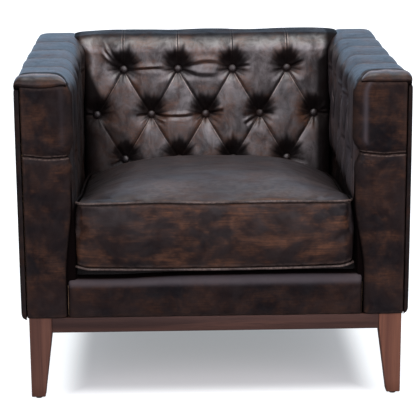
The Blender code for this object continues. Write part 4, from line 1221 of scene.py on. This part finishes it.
# %% Arm caps
def arm_cap(hand, side, outer, sag, seed):
    """The front end of an arm's roll, closed by its own small panel.

    It runs from the arched seam on top to the seam of the facing along a quarter of a superellipse,
    |y|^n + |z|^n = 1, so that the panel is flat, then round, then upright.
    """
    across = stretches((0, 0.08, 12), (0.10, 0.88, 44), (0.90, 1, 14))[None, :]
    angle = np.linspace(0, QUARTER, 46)[:, None]
    power = 2.0 / 2.7
    x = CAP_INNER + (outer - CAP_INNER) * across
    seam_y, seam_z = cap_seam(x)
    low_z = np.minimum(lip_height(x, sag), seam_z - 0.002)
    full = np.sin(math.pi * across) ** 0.5
    y = seam_y + (-0.3980 - 0.0040 * full - seam_y) * np.sin(angle) ** power
    z = low_z + (seam_z + 0.0035 * full - low_z) * np.cos(angle) ** power
    y = y + 0.0018 * bump(QUARTER - angle, 0.10)
    z = z - 0.0045 * full * bump(angle, 0.10) + 0.0009 * soft_noise(x + 0 * y, y * 1.5, 0.020, seed) * full
    # Painted shade in a thin line along the top seam and at the lower lip; a painted highlight and a pale
    # painted sheen just below the seam, over the round; the upright face is dull.
    dark = 0.85 * (1.0 - up_from(angle, 0.19, 0.09)) + 0.8 * bump(QUARTER - angle, 0.05)
    values = {
        "shadow": unit(dark),
        "wear_and_highlight": 0.50 * bump(angle - 0.34, 0.15) + 0.04 * bump(angle - 1.3, 0.15),
        "painted_sheen": 0.50 * bump(angle - 0.40, 0.28),
        "dull": 0.8 * up_from(angle, 0.75, 0.35),
    }

    def flatten(x, y, z):
        return np.column_stack([x, np.maximum(y, -0.390), np.minimum(z - 0.001, 0.7580)])

    name = f"arm_cap_{hand}"
    mesh = panel_shell(name, grid_of(side * x, y, z), flatten, values)
    add_piece(name, mesh, LEATHER_CAP, [], 60.0)


arm_cap("left", -1, CAP_OUTER, LEFT_SAG, 79)
arm_cap("right", 1, CAP_OUTER - 0.0042, RIGHT_SAG, 81)

# %% [markdown]
# ## Front border
# The rail below the cushion is padded and rounded along its top edge.

# %% Border
def front_border():
    """A section carried along X: up the front face, over a quarter circle and back under the cushion."""
    radius, bottom, top, front, half, end_turn = 0.022, BODY_BOTTOM, 0.305, -0.396, 0.3508, 0.0108
    face = stretches((0, 0.008, 4), (0.012, 0.0775, 22))
    bend = np.linspace(0, QUARTER, 14)[1:]
    behind = [-0.366, -0.356, -0.3446]
    y = np.concatenate((np.full(len(face), front), front + radius * (1 - np.cos(bend)), behind))
    z = np.concatenate((bottom + face, top - radius * (1 - np.sin(bend)), [top] * len(behind)))
    x, y = np.meshgrid(np.linspace(-half, half, 200), y + 0.006 * turn_in(z - bottom, 0.010))
    z = z[:, None] + 0 * x
    to_end = half - np.abs(x)
    round_end = 0.008 * turn_in(to_end, end_turn)
    facing_out = down_to(y, -0.374, 0.02)
    ripples = 0.0013 * soft_noise(x, z * 2.2, 0.075, 91) + 0.0006 * soft_noise(x, z * 1.5, 0.024, 92)
    y = y + (round_end - ripples * swell(unit((z - bottom) / 0.09))) * facing_out
    z = z - 0.0055 * down_to(x, -0.02, 0.26) * up_from(z, 0.24, 0.05)
    sagging = 0.0012 * soft_noise(x, 0 * x, 0.11, 93) * up_from(z, 0.27, 0.03)
    z = z - 0.6 * round_end * (1 - facing_out) - sagging
    # Painted shade at both ends and behind the roll, under the cushion, and a pale painted highlight along
    # the rounded top; the light line at the foot and the weaker rust are the leather's own.
    behind_roll = up_from(y, -0.386, 0.010)
    values = {
        "shadow": np.maximum(0.6 * down_to(to_end, 0.3 * end_turn, 0.3 * end_turn), 0.92 * behind_roll),
        "wear_and_highlight": 0.08 * bump(z - bottom, 0.005),
        "painted_sheen": 0.60 * up_from(z, 0.277, 0.016) * (1 - behind_roll),
        "rust": -0.22,
    }

    def flatten(x, y, z):
        at_top = z > 0.29
        behind = np.where(at_top, np.maximum(y, -0.3776), -0.3776)
        return np.column_stack([x, behind, np.where(at_top, 0.2945, z)])

    mesh = panel_shell("padded_border", grid_of(x, y, z), flatten, values)
    add_piece("padded_border", mesh, LEATHER_FRONT, ["front_border"])


front_border()

# %% [markdown]
# ## The seat cushion
# A boxed cushion: a top and a bottom panel joined by a band, with piping along both seams. It is
# filled tight with foam under feathers, so it is crowned, and its panels swell between the seams.
# The starting shape is a plain boxed form. It is remeshed to even voxels, the seams are held, and
# Blender's cloth is blown up by pressure, which rounds the panels and wrinkles them at the seams.

# %% Plan and seams of the cushion
SEAT_PITCH = math.radians(3.0)
CUSHION_FRONT, CUSHION_BACK = -0.3845, 0.229
CUSHION_MIDDLE = (CUSHION_FRONT + CUSHION_BACK) / 2
CUSHION_HALF, CUSHION_CORNER = 0.3270, 0.027
DECK_AT_FRONT = 0.3180
LOWER_SPREAD = 0.0065         # the lower seam stands out beyond the upper one by this much
CROWN_HEIGHT = 0.035
SEAM_POINTS = 720


def deck_height(y):
    return DECK_AT_FRONT - (y - CUSHION_FRONT) * math.tan(SEAT_PITCH)


def cushion_loop(count):
    """Evenly spaced points round the plan of the cushion, from the middle of the right side."""
    outline = rounded_rectangle(2 * CUSHION_HALF, CUSHION_BACK - CUSHION_FRONT, CUSHION_CORNER, 12)
    closed = np.concatenate([outline, outline[:1]])
    travel = np.concatenate(([0.0], np.cumsum(np.hypot(*np.diff(closed, axis=0).T))))
    places = np.linspace(0, travel[-1], count, endpoint=False)
    return np.column_stack([np.interp(places, travel, along) for along in closed.T])


def lower_seam(x, y):
    """Height of the lower seam above the deck: it sags between the front corners."""
    front = down_to(y, -0.10, 0.25)
    corner = 0.005 * up_from(np.abs(x), 0.290, 0.035)
    return 0.010 + front * (corner - 0.003 - 0.005 * np.cos(np.clip(x / 0.32, -1, 1) * QUARTER) ** 0.8)


def upper_seam(x, y):
    """Height of the upper seam above the deck, and of the base of the crown over it.

    In front it is level, with the unevenness of hand sewing. Behind, the sides are pressed down
    between the arms, and the left front corner sits a little lower than the right one.
    """
    share = unit(np.abs(x) / CUSHION_HALF)
    depth = np.where(x < 0, 0.022 * share**5.0, 0.028 * share**4.0)
    pressed = depth * up_from(y, -0.300, 0.26) + 0.012 * up_from(y, 0.10, 0.20)
    pressed = pressed + 0.0010 * down_to(x, -0.16, 0.15) * down_to(y, -0.20, 0.10)
    return 0.1655 - pressed + 0.002 * soft_noise(x, y, 0.14, 101)


SEAMS = ((upper_seam, 0.0), (lower_seam, LOWER_SPREAD))


def spread_out(plan, amount):
    """The plan made wider by the given amount at each side, less at the right one."""
    out = 1.0 + amount / CUSHION_HALF * np.where(plan[:, 0] < 0, 1.0, 0.45)
    return plan[:, 0] * out, plan[:, 1] * (1.0 + amount / CUSHION_HALF)


def on_deck(x, y, height):
    """Points at a height over the deck, from x and y in the plan of the cushion."""
    return np.stack([x, y + CUSHION_MIDDLE, height + deck_height(y + CUSHION_MIDDLE)], axis=1)


print("seams above the deck in front:", np.round([lower_seam(0, -0.3), upper_seam(0, -0.3)], 4))

# %% Cushion form
def crown(x, y):
    """Height of the top panel over its seam: a flat-topped hill, fullest right of the middle."""
    across = unit(np.abs(x - 0.015) / CUSHION_HALF)
    deep = unit(np.abs(y) / (CUSHION_MIDDLE - CUSHION_FRONT))
    return (1 - across**3.2) * (1 - deep**3.4)


def cushion_form(count=96):
    """Rings round the plan: out over the underside, up the band, and in over the top."""
    plan = cushion_loop(count)
    low, high = lower_seam(*plan.T), upper_seam(*plan.T)
    rings = [on_deck(*plan.T * share, low * share**6) for share in (0.35, 0.7, 0.92)]
    for share, swell_out in ((0.0, LOWER_SPREAD), (0.25, 0.0075), (0.5, 0.0065), (0.75, 0.0035), (1.0, 0.0)):
        rings.append(on_deck(*spread_out(plan, swell_out), low + (high - low) * share))
    for share in (0.96, 0.88, 0.76, 0.6, 0.42, 0.22):
        x, y = plan.T * share
        rings.append(on_deck(x, y, upper_seam(x, y) + CROWN_HEIGHT * crown(x, y)))
    return stacked(rings)


print("points of the form:", len(cushion_form()[0]))

# %% Paths along the seams
def seam_path(plan, height, spread, beyond=0.0):
    """Points along a seam of the cushion, or beyond it by some more spread."""
    return on_deck(*spread_out(plan, beyond + spread), height(*plan.T))


def seam_distance(points):
    """Distance of each point from the upper and from the lower seam."""
    plan = cushion_loop(SEAM_POINTS)
    for height, spread in SEAMS:
        seam = KDTree(SEAM_POINTS)
        for index, place in enumerate(seam_path(plan, height, spread)):
            seam.insert(place, index)
        seam.balance()
        yield np.array([seam.find(point)[2] for point in points])


print("points along a seam:", len(seam_path(cushion_loop(SEAM_POINTS), *SEAMS[0])))

# %% Cloth simulation
PRESSURE_STEPS = 20
CUSHION_VOXEL = 0.0075
CLOTH = {
    "quality": 5, "mass": 0.25, "tension_stiffness": 22, "compression_stiffness": 18, "shear_stiffness": 8,
    "bending_stiffness": 0.4, "air_damping": 4.0, "vertex_group_mass": "held", "use_pressure": True,
}


def with_step(mesh, kind, **settings):
    """A helper object that carries the mesh and one modifier."""
    helper = bpy.data.objects.new("helper", mesh)
    bpy.context.scene.collection.objects.link(helper)
    step = helper.modifiers.new("step", kind)
    for key, value in settings.items():
        setattr(step, key, value)
    return helper, step


def taken_from(helper):
    """The mesh after the helper's modifier. The helper is removed."""
    graph = bpy.context.evaluated_depsgraph_get()
    made = bpy.data.meshes.new_from_object(helper.evaluated_get(graph))
    bpy.data.objects.remove(helper)
    return made


def move_points(mesh, points):
    mesh.vertices.foreach_set("co", points.astype(np.float32).ravel())
    mesh.update()


def blown_up(mesh, held, pressure, slack, cap):
    """The mesh after cloth simulation under inner pressure.

    held gives each point a pin weight from 0 to 1, slack is how much larger the hide is cut than the
    form, and no point moves further than cap.
    """
    helper, cloth = with_step(mesh, "CLOTH")
    group = helper.vertex_groups.new(name="held")
    weights = np.round(held, 1)
    for weight in np.unique(weights[weights > 0]):
        group.add(np.nonzero(weights == weight)[0].tolist(), float(weight), "REPLACE")
    for key, value in {**CLOTH, "shrink_min": -slack, "uniform_pressure_force": pressure}.items():
        setattr(cloth.settings, key, value)
    cloth.settings.effector_weights.gravity = 0.0
    cloth.collision_settings.use_collision = False
    cloth.collision_settings.use_self_collision = False
    cloth.point_cache.frame_start, cloth.point_cache.frame_end = 1, PRESSURE_STEPS
    before = vectors_of(mesh.vertices, "co")
    for frame_number in range(1, PRESSURE_STEPS + 1):
        bpy.context.scene.frame_set(frame_number)
        bpy.context.view_layer.update()
    move = vectors_of(taken_from(helper).vertices, "co") - before
    bpy.context.scene.frame_set(1)
    length = np.linalg.norm(move, axis=1, keepdims=True)
    move *= np.minimum(1.0, cap / np.maximum(length, 1e-9))
    move_points(mesh, before + move)
    print("cloth moved points by up to", round(float(length.max()), 4), "m")
    return mesh

# %% Seat cushion
def make_cushion():
    """The cushion's form, blown up, with small folds and dents laid on along its normals."""
    form = build_mesh("cushion_form", *cushion_form())
    turn_outwards(form)
    mesh = taken_from(with_step(form, "REMESH", mode="VOXEL", voxel_size=CUSHION_VOXEL)[0])
    points = vectors_of(mesh.vertices, "co")
    held = unit(1.0 - (np.minimum(*seam_distance(points)) - 0.004) / 0.006)
    held = np.maximum(held, points[:, 2] < deck_height(points[:, 1]) + 0.006)
    mesh = blown_up(mesh, held, 4.0, 0.012, 0.013)
    mesh = taken_from(with_step(mesh, "SUBSURF", levels=1, render_levels=1)[0])
    points = vectors_of(mesh.vertices, "co")
    upper, lower = seam_distance(points)
    near = np.minimum(upper, lower)
    x, y, z = points.T
    raised_by = 0.0009 * soft_noise(x * 2.6 + y * 2.6, z, 0.030, 111) * bump(near - 0.014, 0.014)
    raised_by += 0.0010 * soft_noise(x, z * 0.5 + y * 0.5, 0.028, 112) * smooth_step(near / 0.02)
    raised_by += 0.0022 * soft_noise(x, y, 0.13, 113) * up_from(z, 0.47, 0.02)
    raised_by -= 0.0022 * bump(near, 0.005)
    move_points(mesh, points + vectors_of(mesh.vertex_normals, "vector") * raised_by[:, None])
    # Painted shade in a dark line along the seams, under the cushion, a little on the front, and at the sides
    # between the arms, most on the left; a pale painted sheen on the top, more towards the right. A light
    # line runs beside the seams; the scuffs on the top and the rust and dullness of the front are the
    # leather's own.
    front = down_to(y, -0.37, 0.01)
    on_top = up_from(upper, 0.006, 0.02) * (z > 0.40) * (1 - front)
    at_side = up_from(np.abs(x + 0.01), 0.215, 0.10) * up_from(y, -0.37, 0.12) * (x < 0)
    at_side = np.maximum(at_side, up_from(np.abs(x), 0.300, 0.02) * up_from(y, -0.36, 0.10))
    at_side = at_side * np.where(x < 0, 1.15, 0.50)
    beneath = z < deck_height(y) + lower_seam(x, y - CUSHION_MIDDLE) - 0.0015
    scuffed = down_to(y, -0.02, 0.28) * (0.5 + 0.5 * soft_noise(x * 0.4, y, 0.05, 114))
    give_values(mesh, {
        "shadow": unit(0.85 * bump(near, 0.0045) + 0.05 * front + 0.66 * at_side + 0.95 * beneath),
        "wear_and_highlight": unit(0.14 * bump(near - 0.0075, 0.003) * (1 - at_side) + 0.17 * scuffed * on_top),
        "rust": 0.85 * front,
        "dull": 0.65 * front,
        "painted_sheen": (0.14 + 0.14 * up_from(x, 0.12, 0.12)) * on_top,
    })
    mesh.materials.clear()
    cushion = add_piece("box_cushion", mesh, LEATHER_SEAT, ["seat_cushion"], 75.0)


make_cushion()

# %% Piping
PIPING_SIDES = 10
PIPING_ANGLES = np.linspace(0, 2 * math.pi, PIPING_SIDES + 1)[:-1]


def tube(path, radius):
    """A closed tube along a closed path: at each point a circle across the direction of travel."""
    ahead = np.roll(path, -1, axis=0) - np.roll(path, 1, axis=0)
    ahead /= np.linalg.norm(ahead, axis=1, keepdims=True)
    side = np.cross(ahead, (0.0, 0.0, 1.0))
    side /= np.linalg.norm(side, axis=1, keepdims=True)
    up = np.cross(side, ahead)
    ring = np.cos(PIPING_ANGLES)[:, None] * side[:, None] + np.sin(PIPING_ANGLES)[:, None] * up[:, None]
    points = path[:, None] + radius[:, None, None] * ring
    quads = grid_quads(len(path) + 1, PIPING_SIDES, wrap=True)
    return points.reshape(-1, 3), quads % (len(path) * PIPING_SIDES)


def cushion_piping():
    """Leather over cord, sewn into both seams of the cushion."""
    points, quads = [], []
    plan = cushion_loop(SEAM_POINTS)
    for start, (height, spread) in enumerate(SEAMS):
        radius = 0.0031 + 0.0003 * soft_noise(*plan.T, 0.02, 121 + start)
        ring, faces = tube(seam_path(plan, height, spread, 0.0022), radius)
        quads.append(faces + start * len(ring))
        points.append(ring)
    mesh = build_mesh("cushion_piping", np.concatenate(points), [np.concatenate(quads)])
    x, y, _ = vectors_of(mesh.vertices, "co").T
    # Painted shade under the cord and where it runs hidden along the sides; the patchy light along the rest
    # of the cord is a painted highlight.
    patchy = 0.55 + 0.45 * soft_noise(x, y, 0.05, 125)
    hidden = up_from(y, -0.372, 0.02)
    under = np.tile(np.sin(PIPING_ANGLES) < -0.3, len(x) // PIPING_SIDES)
    shadow = 0.10 + 0.75 * np.maximum(hidden, 0.7 * under)
    give_values(mesh, {"shadow": shadow, "wear_and_highlight": 0.40 * patchy * (1 - hidden)})
    add_piece("cushion_piping", mesh, LEATHER_CORD, [])


cushion_piping()

# %% [markdown]
# ## What lies inside
# The frame, the springs and the two cloths are plain solids that are right as they are. They keep
# their meshes and get a finish, with the grain of each timber along its longest side.

# %% Finishes of the inner pieces
INNER_FINISHES = {
    "seat_spring": SPRING_STEEL, "glide": BLACK_PLASTIC, "seat_deck": DECK_CLOTH, "dust_cover": DUST_CLOTH,
}
kept_nodes = []
for name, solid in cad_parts.items():
    if solid.hide_render:
        continue
    kept_nodes.append(name)
    low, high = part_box(name)
    coat = HARDWOOD["xyz"[int(np.argmax(np.array(high) - np.array(low)))]]
    for start, finish in INNER_FINISHES.items():
        if name.startswith(start):
            coat = finish
    for place in solid.material_slots:
        place.material = coat
print("kept nodes:", sorted(kept_nodes))

# %% [markdown]
# ## Floor, light and camera
# A white floor runs on into a white background. The floor is white to the camera and to rays through
# glass, and still shows the chair's shadow; under the chair its glow is weaker, which paints a soft,
# even shadow there. The room is bright and cool behind and above, and dim in front, so the tops of
# the arms shine and the fronts stay deep. One large soft lamp hangs overhead.

# %% Floor
def white_floor():
    """A wide square with a diffuse answer to light, and enough glow for the camera to read as white, weaker
    under the chair as a painted shadow.
    """
    points = np.array([(-20, -20, 0), (20, -20, 0), (20, 20, 0), (-20, 20, 0)], float)
    mesh = build_mesh("floor", points, [np.array([[0, 1, 2, 3]])])
    floor = bpy.data.objects.new("floor", mesh)
    bpy.context.scene.collection.objects.link(floor)
    coat = bpy.data.materials.new("white_floor")
    coat.use_nodes = True
    tree = coat.node_tree
    tree.nodes.clear()
    camera = node(tree, "ShaderNodeLightPath", output="Is Camera Ray")
    glass = node(tree, "ShaderNodeLightPath", output="Is Transmission Ray")
    x, y, _ = axes(node(tree, "ShaderNodeTexCoord", output="Object"))
    # Under the chair the glow is weaker, in a soft-edged rectangle: a painted shadow over the real one.
    beyond = largest(between(abs(x - 0.008), 0.320, 0.410), between(abs(y), 0.285, 0.415))
    strength = largest(camera, glass) * (0.275 + beyond * 0.57)
    glow = node(tree, "ShaderNodeEmission", {"Color": (0.95, 0.99, 1.0, 1.0), "Strength": strength})
    answer = blend(camera, (0.30, 0.30, 0.31, 1.0), (0.50, 0.50, 0.50, 1.0))
    matt = node(tree, "ShaderNodeBsdfDiffuse", {"Color": answer})
    both = node(tree, "ShaderNodeAddShader", {0: matt, 1: glow})
    wire(tree.nodes.new("ShaderNodeOutputMaterial"), {"Surface": both})
    mesh.materials.append(coat)


white_floor()
print("floor placed")

# %% Light
def room_light():
    """The world: white to the camera, and for all other rays a room that is bright behind and above."""
    world = bpy.data.worlds.new("room")
    bpy.context.scene.world = world
    world.use_nodes = True
    tree = world.node_tree
    tree.nodes.clear()
    x, y, z = axes(node(tree, "ShaderNodeTexCoord", output="Generated"))
    behind = between(y, -0.15, 0.75)
    overhead = between(z, 0.55, 0.95)
    ahead = between(y, -0.35, -0.70) * between(z, -0.01, 0.18) * (1.0 + x * 0.3)
    room = blend(behind, (0.34, 0.33, 0.33, 1.0), (0.52, 0.74, 1.02, 1.0))
    room = blend(ahead, room, (3.3, 2.98, 3.22, 1.0))
    room = blend(overhead, room, (0.80, 0.80, 0.82, 1.0))
    camera = node(tree, "ShaderNodeLightPath", output="Is Camera Ray")
    seen = blend(camera, room, (1.0, 1.0, 1.0, 1.0))
    background = node(tree, "ShaderNodeBackground", {"Color": seen, "Strength": 1.0})
    wire(tree.nodes.new("ShaderNodeOutputWorld"), {"Surface": background})


def soft_lamp(name, place, target, size, power, colour):
    """A square area lamp that faces its target."""
    lamp = bpy.data.lights.new(name, "AREA")
    lamp.shape, lamp.size, lamp.energy, lamp.color = "SQUARE", size, power, colour
    holder = bpy.data.objects.new(name, lamp)
    holder.location = place
    holder.rotation_euler = (Vector(target) - Vector(place)).to_track_quat("-Z", "Y").to_euler()
    bpy.context.scene.collection.objects.link(holder)


room_light()
soft_lamp("overhead", (0.2, -0.5, 2.6), (0.0, 0.0, 0.4), 1.8, 30.0, (1.0, 0.97, 0.95))
print("lamps:", len(bpy.data.lights))

# %% Camera
camera_data = bpy.data.cameras.new("camera")
camera_data.lens = 137.9
camera_data.sensor_width = 36.0
camera = bpy.data.objects.new("camera", camera_data)
YAW, PITCH, ROLL = -0.0211, 0.2404, -0.0079
turned = Matrix.Rotation(YAW, 4, "Z") @ Matrix.Rotation(QUARTER - PITCH, 4, "X")
turned = turned @ Matrix.Rotation(ROLL, 4, "Z")
camera.matrix_world = Matrix.Translation((-0.0895, -4.0778, 1.3705)) @ turned
bpy.context.scene.collection.objects.link(camera)
bpy.context.scene.camera = camera
bpy.context.scene.view_settings.view_transform = "Standard"
print("camera at", np.round(camera.matrix_world.translation, 4))
